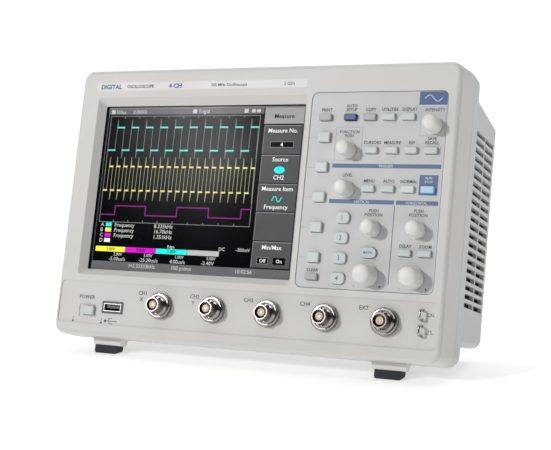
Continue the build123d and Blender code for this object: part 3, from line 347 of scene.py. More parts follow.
class Workshop:
    """Turns bmeshes drawn in the panel frame into finished pieces that ride on CAD bodies."""

    def __init__(self, panel: PanelFrame) -> None:
        """Keeps the panel frame that the pieces are drawn in."""
        self.panel = panel

    def piece(
        self,
        name: str,
        shape: bmesh.types.BMesh,
        finish: Finish,
        body: str = CASE,
        slot: str | None = None,
        smooth: bool = False,
    ) -> bpy.types.Object:
        """Makes an object of a bmesh in millimetres, places it, and dresses it.

        Args:
            name: The piece's name.
            shape: The bmesh, which is freed.
            finish: The finish that it wears.
            body: The CAD body that it rides on.
            slot: The record's material slot that it stands for, if any; not used.
            smooth: Whether its faces are shaded smooth up to corners of SMOOTH_CORNER_DEG.

        Returns:
            The finished object.
        """
        mesh = bpy.data.meshes.new(name)
        shape.to_mesh(mesh)
        shape.free()
        mesh.transform(self.panel.matrix)
        made = bpy.data.objects.new(name, mesh)
        bpy.context.scene.collection.objects.link(made)
        mesh.materials.append(finish.material())
        if smooth:
            mesh.shade_smooth()
            mesh.set_sharp_from_angle(angle=math.radians(SMOOTH_CORNER_DEG))
        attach(made, body)
        LOG.info("piece %s: %d faces on %s", name, len(mesh.polygons), body)
        return made


def add_plate(shape: bmesh.types.BMesh, low: Point, high: Point, y: float, thick: float = INK_THICK) -> None:
    """Adds a thin flat plate that faces the front.

    Args:
        shape: The bmesh that it is added to.
        low: Lower left corner (x, z).
        high: Upper right corner (x, z).
        y: Depth of its front.
        thick: Its thickness.
    """
    centre = Vector(((low[0] + high[0]) / 2, y + thick / 2, (low[1] + high[1]) / 2))
    size = Matrix.Diagonal((high[0] - low[0], thick, high[1] - low[1], 1))
    bmesh.ops.create_cube(shape, size=1.0, matrix=Matrix.Translation(centre) @ size)


def add_outline(
    shape: bmesh.types.BMesh, low: Point, high: Point, y: float, width: float, thick: float = INK_THICK
) -> None:
    """Adds the four strips of a rectangular outline.

    Args:
        shape: The bmesh that it is added to.
        low: Lower left outer corner (x, z).
        high: Upper right outer corner (x, z).
        y: Depth of its front.
        width: Width of the line.
        thick: Its thickness.
    """
    add_plate(shape, low, (high[0], low[1] + width), y, thick)
    add_plate(shape, (low[0], high[1] - width), high, y, thick)
    add_plate(shape, (low[0], low[1] + width), (low[0] + width, high[1] - width), y, thick)
    add_plate(shape, (high[0] - width, low[1] + width), (high[0], high[1] - width), y, thick)


def add_disc(
    shape: bmesh.types.BMesh, centre: Point, radius: float, y: float, thick: float = INK_THICK
) -> None:
    """Adds a thin round plate that faces the front.

    Args:
        shape: The bmesh that it is added to.
        centre: Its centre (x, z).
        radius: Its radius.
        y: Depth of its front.
        thick: Its thickness.
    """
    turn = Matrix.Rotation(math.pi / 2, 4, "X")
    place = Matrix.Translation((centre[0], y + thick / 2, centre[1])) @ turn
    bmesh.ops.create_cone(
        shape, cap_ends=True, segments=24, radius1=radius, radius2=radius, depth=thick, matrix=place
    )


def add_stroke(
    shape: bmesh.types.BMesh, start: Point, end: Point, width: float, y: float, thick: float = INK_THICK
) -> None:
    """Adds a straight printed stroke from one point to another.

    Args:
        shape: The bmesh that it is added to.
        start: First end (x, z).
        end: Second end (x, z).
        width: Width of the stroke.
        y: Depth of its front.
        thick: Its thickness.
    """
    run = Vector((end[0] - start[0], 0, end[1] - start[1]))
    angle = math.atan2(run.z, run.x)
    middle = Vector(((start[0] + end[0]) / 2, y + thick / 2, (start[1] + end[1]) / 2))
    place = Matrix.Translation(middle) @ Matrix.Rotation(-angle, 4, "Y")
    bmesh.ops.create_cube(
        shape, size=1.0, matrix=place @ Matrix.Diagonal((run.length + width * 0.5, thick, width, 1))
    )


class Align(Enum):
    """Where a line of lettering stands against its point."""

    LEFT = "LEFT"
    CENTRE = "CENTER"
    RIGHT = "RIGHT"


def add_text(
    shape: bmesh.types.BMesh,
    words: str,
    place: Point,
    height: float,
    y: float,
    align: Align = Align.CENTRE,
    squeeze: float = 1.0,
    bold: float = 0.0,
) -> None:
    """Adds one line of printed lettering that faces the front.

    Args:
        shape: The bmesh that it is added to.
        words: The text.
        place: The point (x, z) at the middle of its height.
        height: Height of a capital.
        y: Depth of its front.
        align: Which end the point is at.
        squeeze: Width of the letters, as a share of the usual.
        bold: How far the strokes are made thicker, as a share of the height.
    """
    capital = 0.70
    curve = bpy.data.curves.new("lettering", "FONT")
    curve.body = words
    curve.size = height / capital
    curve.align_x = align.value
    curve.resolution_u = 2
    curve.extrude = 0.02
    curve.offset = bold * height
    holder = bpy.data.objects.new("lettering", curve)
    bpy.context.scene.collection.objects.link(holder)
    flat = bpy.data.meshes.new_from_object(holder.evaluated_get(bpy.context.evaluated_depsgraph_get()))
    bpy.data.objects.remove(holder)
    bpy.data.curves.remove(curve)
    spot = Matrix.Translation((place[0], y, place[1] - height / 2))
    flat.transform(spot @ Matrix.Rotation(math.pi / 2, 4, "X") @ Matrix.Diagonal((squeeze, 1, 1, 1)))
    shape.from_mesh(flat)
    bpy.data.meshes.remove(flat)


# ------------------------------------------------------------------------------------------------ display
@dataclass
class Display:
    """The lit picture on the display: three traces, tags, readings and a menu column."""

    shop: Workshop
    picture: Point = (152.4, 114.3)
    depth: float = 5.92
    layer: float = 0.03
    graph: tuple[float, float, float, float] = (0.012, 0.79, 0.045, 0.715)
    menu_left: float = 0.815
    glow: float = 0.85
    bold: float = 0.012
    finishes: dict[str, Finish] = field(default_factory=dict)

    def __post_init__(self) -> None:
        """Places the picture on the module and mixes its colours."""
        middle = self.shop.panel.middle("display_window")
        self.left = middle.x - self.picture[0] / 2
        self.top = middle.z + self.picture[1] / 2
        shades = {
            "black": (4, 5, 7),
            "gray": (92, 92, 94),
            "menu": (74, 74, 76),
            "header": (142, 142, 142),
            "edge": (128, 128, 128),
            "text": (214, 214, 214),
            "reading": (176, 176, 176),
            "cyan": (92, 190, 174),
            "cyan_dim": (96, 118, 116),
            "yellow": (196, 192, 122),
            "yellow_dim": (140, 138, 106),
            "magenta": (122, 34, 112),
            "tag_cyan": (40, 214, 200),
            "tag_yellow": (232, 226, 60),
            "tag_magenta": (196, 24, 184),
            "tag_gray": (168, 168, 168),
        }
        for name, color in shades.items():
            self.finishes[name] = Finish(
                f"screen_{name}",
                srgb(*color),
                0.6,
                Surface.PLAIN,
                mottle=0.0,
                specular=0.0,
                emission=self.glow,
            )

    def at(self, u: float, v: float) -> Point:
        """Point (x, z) of the panel for a place on the picture, u to the right and v down, 0 to 1."""
        return self.left + u * self.picture[0], self.top - v * self.picture[1]

    def level(self, order: int) -> float:
        """Depth of a layer of the picture, higher orders nearer the viewer."""
        return self.depth - order * self.layer

    def fill(self, shape: bmesh.types.BMesh, u: Point, v: Point, order: int) -> None:
        """Adds a filled rectangle between two places in u and v."""
        add_plate(shape, self.at(u[0], v[1]), self.at(u[1], v[0]), self.level(order), self.layer / 2)

    def path(self, shape: bmesh.types.BMesh, points: Sequence[Point], width: float, order: int) -> None:
        """Adds a polyline of strokes through places on the picture."""
        for start, end in zip(points, points[1:]):
            add_stroke(shape, self.at(*start), self.at(*end), width, self.level(order), self.layer / 2)

    def words(
        self,
        shape: bmesh.types.BMesh,
        text: str,
        u: float,
        v: float,
        height: float = 2.6,
        align: Align = Align.LEFT,
        order: int = 4,
    ) -> None:
        """Adds a line of lettering on the picture."""
        add_text(shape, text, self.at(u, v), height, self.level(order), align, bold=self.bold)

    def done(self, name: str, shape: bmesh.types.BMesh, shade: str) -> None:
        """Makes a picture piece of a bmesh."""
        self.shop.piece(f"screen_{name}", shape, self.finishes[shade], slot="display_black")

    def block(self, name: str, shade: str, u: Point, v: Point, order: int) -> None:
        """Makes a picture piece of one filled rectangle."""
        shape = bmesh.new()
        self.fill(shape, u, v, order)
        self.done(name, shape, shade)

    def ground(self) -> None:
        """Black ground, status bar, bottom bar and the graph's frame and ticks."""
        self.block("ground", "black", (0.0, 1.0), (0.0, 1.0), 0)
        bars = bmesh.new()
        self.fill(bars, (0.0, self.menu_left - 0.01), (0.0, 0.036), 1)
        self.fill(bars, (0.0, 1.0), (0.957, 1.0), 1)
        self.done("bars", bars, "gray")
        u0, u1, v0, v1 = self.graph
        frame = bmesh.new()
        low, high = self.at(u0, v1), self.at(u1, v0)
        add_outline(frame, low, high, self.level(1), 0.35, self.layer / 2)
        divisions, half_tick, half_width = 10, 0.008, 0.0012
        for i in range(1, divisions):
            u = u0 + (u1 - u0) * i / divisions
            for v in (v0 + half_tick, v1 - half_tick):
                self.fill(frame, (u - half_width, u + half_width), (v - half_tick, v + half_tick), 1)
        self.done("frame", frame, "edge")

    def square_wave(
        self, u: Point, high: float, low: float, cycles: int, lead: float, spike: float
    ) -> tuple[list[Point], list[tuple[Point, Point]]]:
        """Works out a square wave with overshoot.

        Args:
            u: First and last place of the wave.
            high: Level of its tops.
            low: Level of its bottoms.
            cycles: Number of full cycles.
            lead: Share of a cycle before the first rise.
            spike: Overshoot beyond each level.

        Returns:
            The steep strokes' points, and the flat pieces as pairs of points.
        """
        period = (u[1] - u[0]) / cycles
        steep: list[Point] = [(u[0], low)]
        flats: list[tuple[Point, Point]] = []
        for i in range(cycles):
            start = u[0] + i * period
            rise, fall, end = start + lead * period, start + (lead + 0.5) * period, start + period
            steep += [(rise - 0.002, low), (rise, high - spike), (rise + 0.003, high), (fall - 0.002, high)]
            steep += [(fall, low + spike), (fall + 0.003, low)]
            flats.append(((rise + 0.001, high), (min(fall, u[1]), high)))
            flats.append(((start, low), (rise, low)))
            if end < u[1]:
                flats.append(((fall, low), (end, low)))
        return [(min(x, u[1]), v) for x, v in steep], flats

    def traces(self) -> None:
        """The three channels' traces."""
        u0, u1 = self.graph[0] + 0.003, self.graph[1] - 0.003
        for name, high, low, cycles, lead, spike, dim, bright in (
            ("cyan", 0.118, 0.262, 10, 0.5, 0.05, "cyan_dim", "cyan"),
            ("yellow", 0.365, 0.515, 20, 0.5, 0.06, "yellow_dim", "yellow"),
        ):
            steep, flats = self.square_wave((u0, u1), high, low, cycles, lead, spike)
            lines = bmesh.new()
            self.path(lines, steep, 0.4, 2)
            self.done(f"{name}_edges", lines, dim)
            tops = bmesh.new()
            for pair in flats:
                self.path(tops, pair, 1.15, 3)
            self.done(f"{name}_levels", tops, bright)
        step_places = [u0, 0.092, 0.255, 0.418, 0.58, 0.742, u1]
        levels = [0.668, 0.612]
        slow: list[Point] = []
        for i, (start, end) in enumerate(zip(step_places, step_places[1:])):
            slow += [(start, levels[i % 2]), (end, levels[i % 2])]
        magenta = bmesh.new()
        self.path(magenta, slow, 0.8, 3)
        self.done("magenta_trace", magenta, "magenta")

    def readings(self) -> None:
        """Tags, readings and the coloured bars under the graph."""
        text = bmesh.new()
        status, sources, foot = 0.019, 0.852, 0.978
        for words, u, v, height in (
            ("100us", 0.035, status, 2.6),
            ("0.0000s", 0.13, status, 2.6),
            ("Trig'd", 0.475, status, 2.6),
            ("Edge", 0.39, sources, 2.1),
            ("DC", 0.65, sources, 2.3),
            ("-300mV", 0.735, sources, 2.3),
            ("f=3.33333kHz", 0.2, foot, 2.6),
            ("100 points", 0.42, foot, 2.6),
            ("10:02:56", 0.74, foot, 2.6),
        ):
            self.words(text, words, u, v, height)
        for u, width, v in (
            (0.012, 0.02, (0.006, 0.031)),
            (0.447, 0.02, (0.006, 0.031)),
            (0.708, 0.02, (0.006, 0.031)),
            (0.745, 0.018, (0.009, 0.029)),
            (0.77, 0.018, (0.009, 0.029)),
        ):
            self.fill(text, (u, u + width), v, 4)
        frequencies = ("8.335kHz", "16.70kHz", "1.351kHz")
        first_row, row_pitch = 0.73, 0.0325
        tags = ("tag_cyan", "tag_yellow", "tag_magenta", "text")
        for i, shade in enumerate(tags):
            v = first_row + i * row_pitch
            self.block(f"tag_{i + 1}", shade, (0.052, 0.084), (v - 0.012, v + 0.012), 2)
            self.words(text, "ABCD"[i], 0.026, v, 2.6)
            if i < len(frequencies):
                self.words(text, "Frequency", 0.1, v, 2.7)
                self.words(text, frequencies[i], 0.31, v, 2.7)
        bar_pitch, volts = 0.161, ("2.00V", "5.00V", "1.00V")
        for i, shade in enumerate(("tag_yellow", "tag_magenta", "tag_cyan", "tag_gray")):
            left = 0.012 + i * bar_pitch
            self.block(f"scale_bar_{i + 1}", shade, (left, left + 0.159), (0.866, 0.897), 2)
            self.words(text, (*volts, "2.00V")[i], left + 0.1, 0.911, 2.1)
        for i, value in enumerate(("-5.00us/s", "-25.20us/s", "4.00us/s", "-2.40V")):
            self.words(text, value, 0.09 + i * 0.16, 0.94, 2.6)
        self.done("readings", text, "reading")
        ink = bmesh.new()
        for i, words in enumerate(volts):
            self.words(ink, words, 0.07 + i * bar_pitch, 0.881, 2.2)
        self.done("bar_values", ink, "black")

    def menu(self) -> None:
        """Menu column with its boxes, icons and two-state buttons."""
        left, right, middle = self.menu_left, 0.997, 0.906
        stops = (0.105, 0.283, 0.455, 0.623, 0.795, 0.953)
        column, edges = bmesh.new(), bmesh.new()
        for top, bottom in zip(stops, stops[1:]):
            self.fill(column, (left, right), (top + 0.006, bottom - 0.004), 1)
            self.path(edges, [(left, top + 0.004), (right, top + 0.004)], 0.5, 2)
            self.path(edges, [(left, top + 0.004), (left, bottom - 0.004)], 0.35, 2)
        self.done("menu_boxes", column, "menu")
        self.block("menu_header", "header", (left - 0.004, 1.0), (0.0, 0.098), 1)
        number = ((0.85, 0.963), (0.205, 0.241))
        switch_rows = (0.888, 0.928)
        off, on = ((0.84, 0.895), switch_rows), ((0.918, 0.975), switch_rows)
        dark = bmesh.new()
        for u, v in (number, off, on):
            self.fill(dark, u, v, 4)
        self.words(dark, "Measure", middle, 0.052, 3.0, Align.CENTRE, 4)
        self.done("menu_fields", dark, "black")
        for u, v in (number, off):
            add_outline(edges, self.at(u[0], v[1]), self.at(u[1], v[0]), self.level(5), 0.3, self.layer / 2)
        self.done("menu_edges", edges, "edge")
        text = bmesh.new()
        for words, v in (
            ("Measure No.", 0.139),
            ("4", 0.223),
            ("Source", 0.311),
            ("CH2", 0.418),
            ("Measure Item", 0.485),
            ("Frequency", 0.592),
            ("Min/Max", 0.829),
        ):
            self.words(text, words, middle, v, 2.9, Align.CENTRE, 6)
        self.words(text, "Off", 0.868, 0.908, 2.4, Align.CENTRE, 6)
        self.words(text, "On", 0.947, 0.908, 2.4, Align.CENTRE, 6)
        self.done("menu_text", text, "text")
        oval = bmesh.new()
        spot = self.at(middle, 0.374)
        add_disc(oval, spot, 1.0, self.level(3), self.layer / 2)
        stretch = Matrix.Translation((-spot[0], 0, -spot[1]))
        bmesh.ops.scale(oval, vec=(3.9, 1, 2.4), verts=oval.verts, space=stretch)
        wave = [
            (-0.022, 0.556), (-0.014, 0.532), (-0.004, 0.532), (0.005, 0.56), (0.015, 0.56), (0.023, 0.536)
        ]
        self.path(oval, [(middle + u, v) for u, v in wave], 0.6, 3)
        self.done("menu_icons", oval, "tag_cyan")

    def build(self) -> None:
        """Makes the whole picture."""
        self.ground()
        self.traces()
        self.readings()
        self.menu()


# ------------------------------------------------------------------------------------------------ legends
@dataclass
class ControlLegends:
    """Printing on the control panel: bars, boxes, labels, the badge and the digits on the keys."""

    shop: Workshop
    letter: float = 2.0
    key_lift: float = 5.3
    low_key_lift: float = 4.6
    line_gap: float = 0.55
    bar_height: float = 2.7
    bar_margin: float = 11.0
    trigger_bar_lift: float = 15.4
    lower_bars_drop: float = 7.8
    bar_gap: float = 0.7
    line_width: float = 0.28
    low_labels: tuple[str, ...] = ("delay", "zoom", "clear")
    labelled_keys: tuple[str, ...] = (
        "print", "auto_setup", "copy", "utilities", "display", "cursors", "measure", "reference",
        "save_recall", "trigger_menu", "auto", "normal", "delay", "zoom", "clear",
    )
    short_labels: dict[str, list[str]] = field(
        default_factory=lambda: {"reference": ["REF"], "trigger_menu": ["MENU"]}
    )
    ink_proud: float = 0.045

    def __post_init__(self) -> None:
        """Takes the panel's face as the level of the printing."""
        self.low, self.high = self.shop.panel.extent("control_panel")
        self.y = self.low.y - self.ink_proud

    def key(self, name: str) -> Vector:
        """Middle of a key or knob."""
        return self.shop.panel.middle(name)

    def above(self, shape: bmesh.types.BMesh, name: str, lines: Sequence[str], lift: float) -> None:
        """Prints one or more lines over a key or knob.

        Args:
            shape: The bmesh that the lettering is added to.
            name: The key's or knob's node.
            lines: The words, from the top line down.
            lift: Height of the lowest line over the control's middle.
        """
        spot = self.key(name)
        for i, words in enumerate(reversed(lines)):
            place = (spot.x, spot.z + lift + i * (self.letter + self.line_gap))
            add_text(shape, words, place, self.letter, self.y, squeeze=0.94, bold=0.02)

    def labels(self) -> None:
        """Words over the keys and knobs."""
        ink = bmesh.new()
        for name in self.labelled_keys:
            lines = self.short_labels.get(name) or name.upper().split("_")
            lift = self.low_key_lift if name in self.low_labels else self.key_lift
            self.above(ink, f"{name}_key", lines, lift)
        knob_labels = {
            "function_knob": (["FUNCTION", "PUSH"], 9.8),
            "trigger_level_knob": (["LEVEL"], 9.4),
            "vertical_position_knob": (["PUSH", "POSITION"], 9.0),
            "horizontal_position_knob": (["PUSH", "POSITION"], 9.4),
            "intensity_knob": (["INTENSITY"], 10.4),
        }
        for name, (lines, lift) in knob_labels.items():
            self.above(ink, name, lines, lift)
        for name in ("vertical_scale_knob", "horizontal_scale_knob"):
            spot = self.key(name)
            add_text(ink, "-", (spot.x - 8.6, spot.z - 6.6), 2.2, self.y, bold=0.03)
            add_text(ink, "+", (spot.x + 8.6, spot.z - 6.6), 2.2, self.y, bold=0.02)
        self.shop.piece("panel_labels", ink, INK_DARK, slot="panel_face")

    def bars(self) -> None:
        """Blue section bars with their names, the plate round the run key and the divider."""
        trigger, vertical = self.key("trigger_level_knob"), self.key("vertical_position_knob")
        left, right = trigger.x - self.bar_margin, self.high.x - 1.2
        half = self.bar_height / 2
        divide = (vertical.x + self.key("horizontal_position_knob").x) / 2 - 1.2
        first, second = trigger.z + self.trigger_bar_lift, trigger.z - self.lower_bars_drop
        bars = bmesh.new()
        for start, end, z in (
            (left, right, first),
            (left, divide - self.bar_gap, second),
            (divide + self.bar_gap, right, second),
        ):
            add_plate(bars, (start, z - half), (end, z + half), self.y)
        run = self.key("run_stop_key")
        add_plate(bars, (run.x - 6.1, run.z - 3.4), (run.x + 6.1, run.z + 9.6), self.y)
        self.shop.piece("section_bars", bars, INK_BLUE, slot="panel_face")
        names = bmesh.new()
        for words, place, height, squeeze in (
            ("TRIGGER", ((left + right) / 2, first), 1.7, 1.0),
            ("VERTICAL", ((left + divide) / 2, second), 1.7, 1.0),
            ("HORIZONTAL", ((divide + right) / 2, second), 1.7, 0.9),
            ("RUN", (run.x, run.z + 7.6), 1.5, 1.0),
            ("STOP", (run.x, run.z + 5.2), 1.5, 1.0),
        ):
            add_text(names, words, place, height, self.y - INK_THICK, squeeze=squeeze, bold=0.02)
        add_outline(names, (run.x - 6.5, run.z - 3.8), (run.x + 6.5, run.z + 10.0), self.y, 0.4)
        self.shop.piece("section_names", names, INK_PALE, slot="panel_face")
        thin = bmesh.new()
        add_plate(thin, (divide - 0.25, self.low.z + 4.2), (divide + 0.25, second - half - 0.6), self.y)
        self.shop.piece("section_divider", thin, INK_BLUE_DEEP, slot="panel_face")

    def lines(self) -> None:
        """Thin boxes round two knobs, the stroke beside the save key and the soft keys' ticks."""
        boxes = bmesh.new()
        function, intensity = self.key("function_knob"), self.key("intensity_knob")
        for low, high in (
            ((function.x - 9.4, function.z - 6.4), (function.x + 9.0, function.z + 15.6)),
            ((intensity.x - 9.0, intensity.z - 6.6), (self.high.x - 0.6, intensity.z + 12.8)),
        ):
            add_outline(boxes, low, high, self.y, self.line_width)
        save = self.key("save_recall_key")
        add_stroke(boxes, (save.x + 5.6, save.z - 3), (save.x + 5.6, save.z + 2.6), 0.25, self.y)
        for i in range(1, 6):
            soft = self.key(f"soft_key_{i}")
            add_plate(boxes, (self.low.x + 0.5, soft.z - 0.15), (soft.x - 5.2, soft.z + 0.15), self.y)
        self.shop.piece("panel_lines", boxes, INK_LINE, slot="panel_face")

    def badge(self) -> None:
        """Blue corner badge with a plain wave sign, and the pale line under it."""
        left, right, top = self.high.x - 18.6, self.high.x - 0.3, self.high.z - 0.3
        bottom = top - 8.6
        plate = bmesh.new()
        add_plate(plate, (left, bottom), (right, top), self.y)
        self.shop.piece("corner_badge", plate, INK_BLUE_DEEP, slot="panel_face")
        sign = bmesh.new()
        add_plate(sign, (left, bottom - 1.5), (right, bottom - 0.3), self.y)
        steps, reach = 14, 11.0
        start = (left + right) / 2 - reach / 2
        points = [
            (start + reach * i / steps, (top + bottom) / 2 + 2.0 * math.sin(2 * math.pi * i / steps))
            for i in range(steps + 1)
        ]
        for begin, end in zip(points, points[1:]):
            add_stroke(sign, begin, end, 0.7, self.y - INK_THICK)
        self.shop.piece("badge_sign", sign, INK_PALE, slot="panel_face")

    def key_marks(self) -> None:
        """Digits on the channel keys and the word on the math key, which ride on their keys."""
        for name, words, height in [(f"channel_{i}_key", str(i), 3.0) for i in range(1, 5)] + [
            ("math_key", "MATH", 1.7)
        ]:
            low, high = self.shop.panel.extent(name)
            ink = bmesh.new()
            place = ((low.x + high.x) / 2 - 0.2, (low.z + high.z) / 2)
            add_text(ink, words, place, height, low.y - 0.03, squeeze=0.9, bold=0.02)
            self.shop.piece(f"{name}_mark", ink, INK_BLUE, body=name, slot="key_white")

    def build(self) -> None:
        """Prints the whole panel."""
        self.labels()
        self.bars()
        self.lines()
        self.badge()
        self.key_marks()


@dataclass
class BezelPrinting:
    """Printing on the bezel: the title strip over the display and the labels of the socket strip."""

    shop: Workshop
    title_left: float = -128.1
    title_right: float = 36.0
    title_z: tuple[float, float] = (174.5, 180.2)
    title_y: float = -0.05
    title_ink_y: float = -0.09
    strip_depth: float = 0.6
    ink_proud: float = 0.045
    letter: float = 2.7
    label_z: float = 31.9
    axis_z: float = 27.6

    def title(self) -> None:
        """Off-white strip with generic words."""
        low, high = self.title_z
        middle = (low + high) / 2
        plate = bmesh.new()
        add_plate(plate, (self.title_left, low), (self.title_right, high), self.title_y, 0.06)
        self.shop.piece("title_strip", plate, STRIP_WHITE, slot="case_front")
        y = self.title_ink_y
        bold = bmesh.new()
        add_text(bold, "DIGITAL", (self.title_left + 3.5, middle), 3.2, y, Align.LEFT, 1.0, 0.05)
        add_text(bold, "4 CH", (-69.0, middle), 3.0, y, Align.LEFT, 1.1, 0.05)
        self.shop.piece("title_bold", bold, TITLE_BLUE, slot="case_front")
        plain = bmesh.new()
        add_text(plain, "500 MHz Oscilloscope", (-22.0, middle), 2.1, y, Align.CENTRE, 1.0, 0.01)
        add_text(plain, "2 GS/s", (27.0, middle), 2.1, y, Align.RIGHT, 1.0, 0.01)
        add_text(plain, "OSCILLOSCOPE", (self.title_left + 25.0, middle), 2.3, y, Align.LEFT, 0.95, 0.03)
        self.shop.piece("title_plain", plain, INK_DARK, slot="case_front")

    def sockets(self) -> None:
        """Labels of the power key, the USB socket, the inputs and the calibrator."""
        y = self.strip_depth - self.ink_proud
        ink = bmesh.new()
        power = self.shop.panel.middle("power_key")
        add_text(ink, "POWER", (power.x - 2.6, power.z + 9.2), self.letter, y, squeeze=0.95, bold=0.01)
        for side in (-1, 1):
            x = power.x - 0.6 + side * 11.6
            add_stroke(ink, (x, power.z - 7.2), (x, power.z - 5.0), 0.35, y)
            add_disc(ink, (x, power.z - 8.0), 0.7, y)
        usb = self.shop.panel.middle("usb_socket")
        add_stroke(ink, (usb.x - 4.6, usb.z - 9.4), (usb.x + 4.4, usb.z - 9.4), 0.4, y)
        add_disc(ink, (usb.x - 4.8, usb.z - 9.4), 0.95, y)
        for rise, reach in ((1.8, 1.4), (-1.8, 2.8)):
            bend = (usb.x - 2.6 + reach / 2, usb.z - 9.4 + rise)
            add_stroke(ink, (usb.x - 3.4 + reach / 2, usb.z - 9.4), bend, 0.4, y)
            add_stroke(ink, bend, (bend[0] + 2.4, bend[1]), 0.4, y)
        shells = self.shop.panel.extent("bnc_shells")
        radius = (shells[1].z - shells[0].z) / 2
        first, last = shells[0].x + radius, shells[1].x - radius
        labels = ("CH1", "CH2", "CH3", "CH4", "EXT")
        for i, words in enumerate(labels):
            x = first + (last - first) * i / (len(labels) - 1)
            add_text(ink, words, (x - 14.6, self.label_z), self.letter, y, squeeze=0.95, bold=0.01)
        for x, words in ((first, "X"), (first + (last - first) / 4, "Y")):
            add_text(ink, words, (x - 15.4, self.axis_z), self.letter, y, bold=0.01)
        hooks = self.shop.panel.extent("calibrator_hooks")
        x = hooks[1].x + 2.2
        add_text(ink, "CAL", (x, hooks[1].z - 3.4), 2.0, y, Align.LEFT, 0.9, 0.01)
        z = hooks[0].z + 3.2
        pulse = ((0, -1), (1.5, -1), (1.5, 1), (3.2, 1), (3.2, -1), (4.8, -1))
        for start, end in zip(pulse, pulse[1:]):
            add_stroke(ink, (x + start[0], z + start[1]), (x + end[0], z + end[1]), 0.32, y)
        self.shop.piece("socket_labels", ink, INK_DARK, slot="case_front")

    def build(self) -> None:
        """Prints the bezel."""
        self.title()
        self.sockets()


# ------------------------------------------------------------------------------------------------ knobs
@dataclass
class KnobMaker:
    """Turned knobs with fine flutes, a domed face and a skirt, in place of the plain CAD ones."""

    shop: Workshop
    flutes: int = 24
    flute_depth: float = 0.035
    turns: int = 96
    edge_share: float = 0.42
    face_share: float = 0.83
    dome_rise: float = 0.165
    skirt_front: float = 1.35
    back: float = -0.4

    def profile(self, face: float, skirt: float, front: float, back: float) -> list[Point]:
        """Half outline (radius, y) of a knob from the middle of its face to the back of its skirt.

        Args:
            face: Radius at the face.
            skirt: Radius of the skirt.
            front: Depth of the face.
            back: Depth of the skirt's back.

        Returns:
            The outline's points.
        """
        edge, steps, rings = self.edge_share * face, 8, 4
        base = skirt - 0.45
        flat = face - edge
        points = [(flat * i / rings, front + self.dome_rise * (i / rings) ** 2) for i in range(rings + 1)]
        for i in range(1, steps + 1):
            angle = math.radians(90 * i / steps)
            depth = front + self.dome_rise + edge * (1 - math.cos(angle))
            points.append((flat + edge * math.sin(angle), depth))
        shoulder = points[-1][1]
        for i in range(1, steps + 1):
            share = i / steps
            depth = shoulder + (back - self.skirt_front - shoulder) * share
            points.append((face + (base - face) * share, depth))
        points += [(skirt - 0.12, back - 1.3), (skirt, back - 1.15), (skirt, back), (0.0, back)]
        return points

    def build(self, name: str) -> None:
        """Makes one knob in place of its CAD node.

        Args:
            name: The knob's node, which is also its body.
        """
        low, high = self.shop.panel.extent(name)
        centre, skirt = (low + high) / 2, (high.x - low.x) / 2
        face = skirt * self.face_share
        shape = bmesh.new()
        points = self.profile(face, skirt, low.y, self.back)
        outline = [shape.verts.new((radius, y, 0)) for radius, y in points]
        edges = [shape.edges.new(pair) for pair in zip(outline, outline[1:])]
        bmesh.ops.spin(
            shape, geom=outline + edges, cent=(0, 0, 0), axis=(0, 1, 0), angle=2 * math.pi,
            steps=self.turns, use_merge=True,
        )
        bmesh.ops.remove_doubles(shape, verts=shape.verts, dist=0.0005)
        start, end = low.y + self.edge_share * face, self.back - self.skirt_front
        for vertex in shape.verts:
            if not start < vertex.co.y < end:
                continue
            angle = math.atan2(vertex.co.z, vertex.co.x)
            fade = min(1.0, (vertex.co.y - start) / 1.2)
            cut = self.flute_depth * skirt * fade * (0.5 - 0.5 * math.cos(self.flutes * angle))
            radius = math.hypot(vertex.co.x, vertex.co.z)
            vertex.co.x *= (radius - cut) / radius
            vertex.co.z *= (radius - cut) / radius
        bmesh.ops.recalc_face_normals(shape, faces=shape.faces)
        bmesh.ops.translate(shape, vec=(centre.x, 0, centre.z), verts=shape.verts)
        made = self.shop.piece(f"{name}_turned", shape, KNOB_WHITE, body=name, slot="knob_white", smooth=True)
        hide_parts(name)


# ------------------------------------------------------------------------------------------------ sockets
@dataclass
class SocketTrim:
    """Small metal and plastic parts of the front sockets: contact eyes, USB contacts and the USB shell."""

    shop: Workshop
    count: int = 5
    contact_radius: float = 0.85

    def contacts(self) -> None:
        """Brass contact eyes in the inputs' insulators."""
        low, high = self.shop.panel.extent("bnc_cores")
        radius = (high.z - low.z) / 2
        brass = bmesh.new()
        facing = Matrix.Rotation(math.pi / 2, 4, "X")
        for i in range(self.count):
            x = low.x + radius + (high.x - low.x - 2 * radius) * i / (self.count - 1)
            place = Matrix.Translation((x, low.y + 0.9, (low.z + high.z) / 2)) @ facing
            bmesh.ops.create_cone(
                brass, cap_ends=True, segments=20, radius1=self.contact_radius * 0.55,
                radius2=self.contact_radius, depth=1.6, matrix=place,
            )
        bmesh.ops.recalc_face_normals(brass, faces=brass.faces)
        self.shop.piece("input_contacts", brass, BRASS, slot="socket_insulator")

    def usb_contacts(self) -> None:
        """Four contact strips on the USB tongue."""
        middle = self.shop.panel.middle("usb_socket")
        strips = bmesh.new()
        for i in range(4):
            x = middle.x - 3.75 + 2.5 * i
            place = Matrix.Translation((x, 5.0, middle.z - 0.25)) @ Matrix.Diagonal((1.1, 7.0, 0.12, 1))
            bmesh.ops.create_cube(strips, size=1.0, matrix=place)
        self.shop.piece("usb_contacts", strips, BRASS, slot="usb_black")

    def usb_shell(self) -> None:
        """Bright edge of the USB socket's metal shell."""
        low, high = self.shop.panel.extent("usb_socket")
        inset = 1.5
        metal = bmesh.new()
        near, far = (low.x + inset, low.z + inset), (high.x - inset, high.z - inset)
        add_outline(metal, near, far, low.y - INK_THICK, 0.4, 0.3)
        self.shop.piece("usb_shell_edge", metal, SHELL_METAL, slot="usb_black")

    def build(self) -> None:
        """Makes the trim."""
        self.contacts()
        self.usb_contacts()
        self.usb_shell()


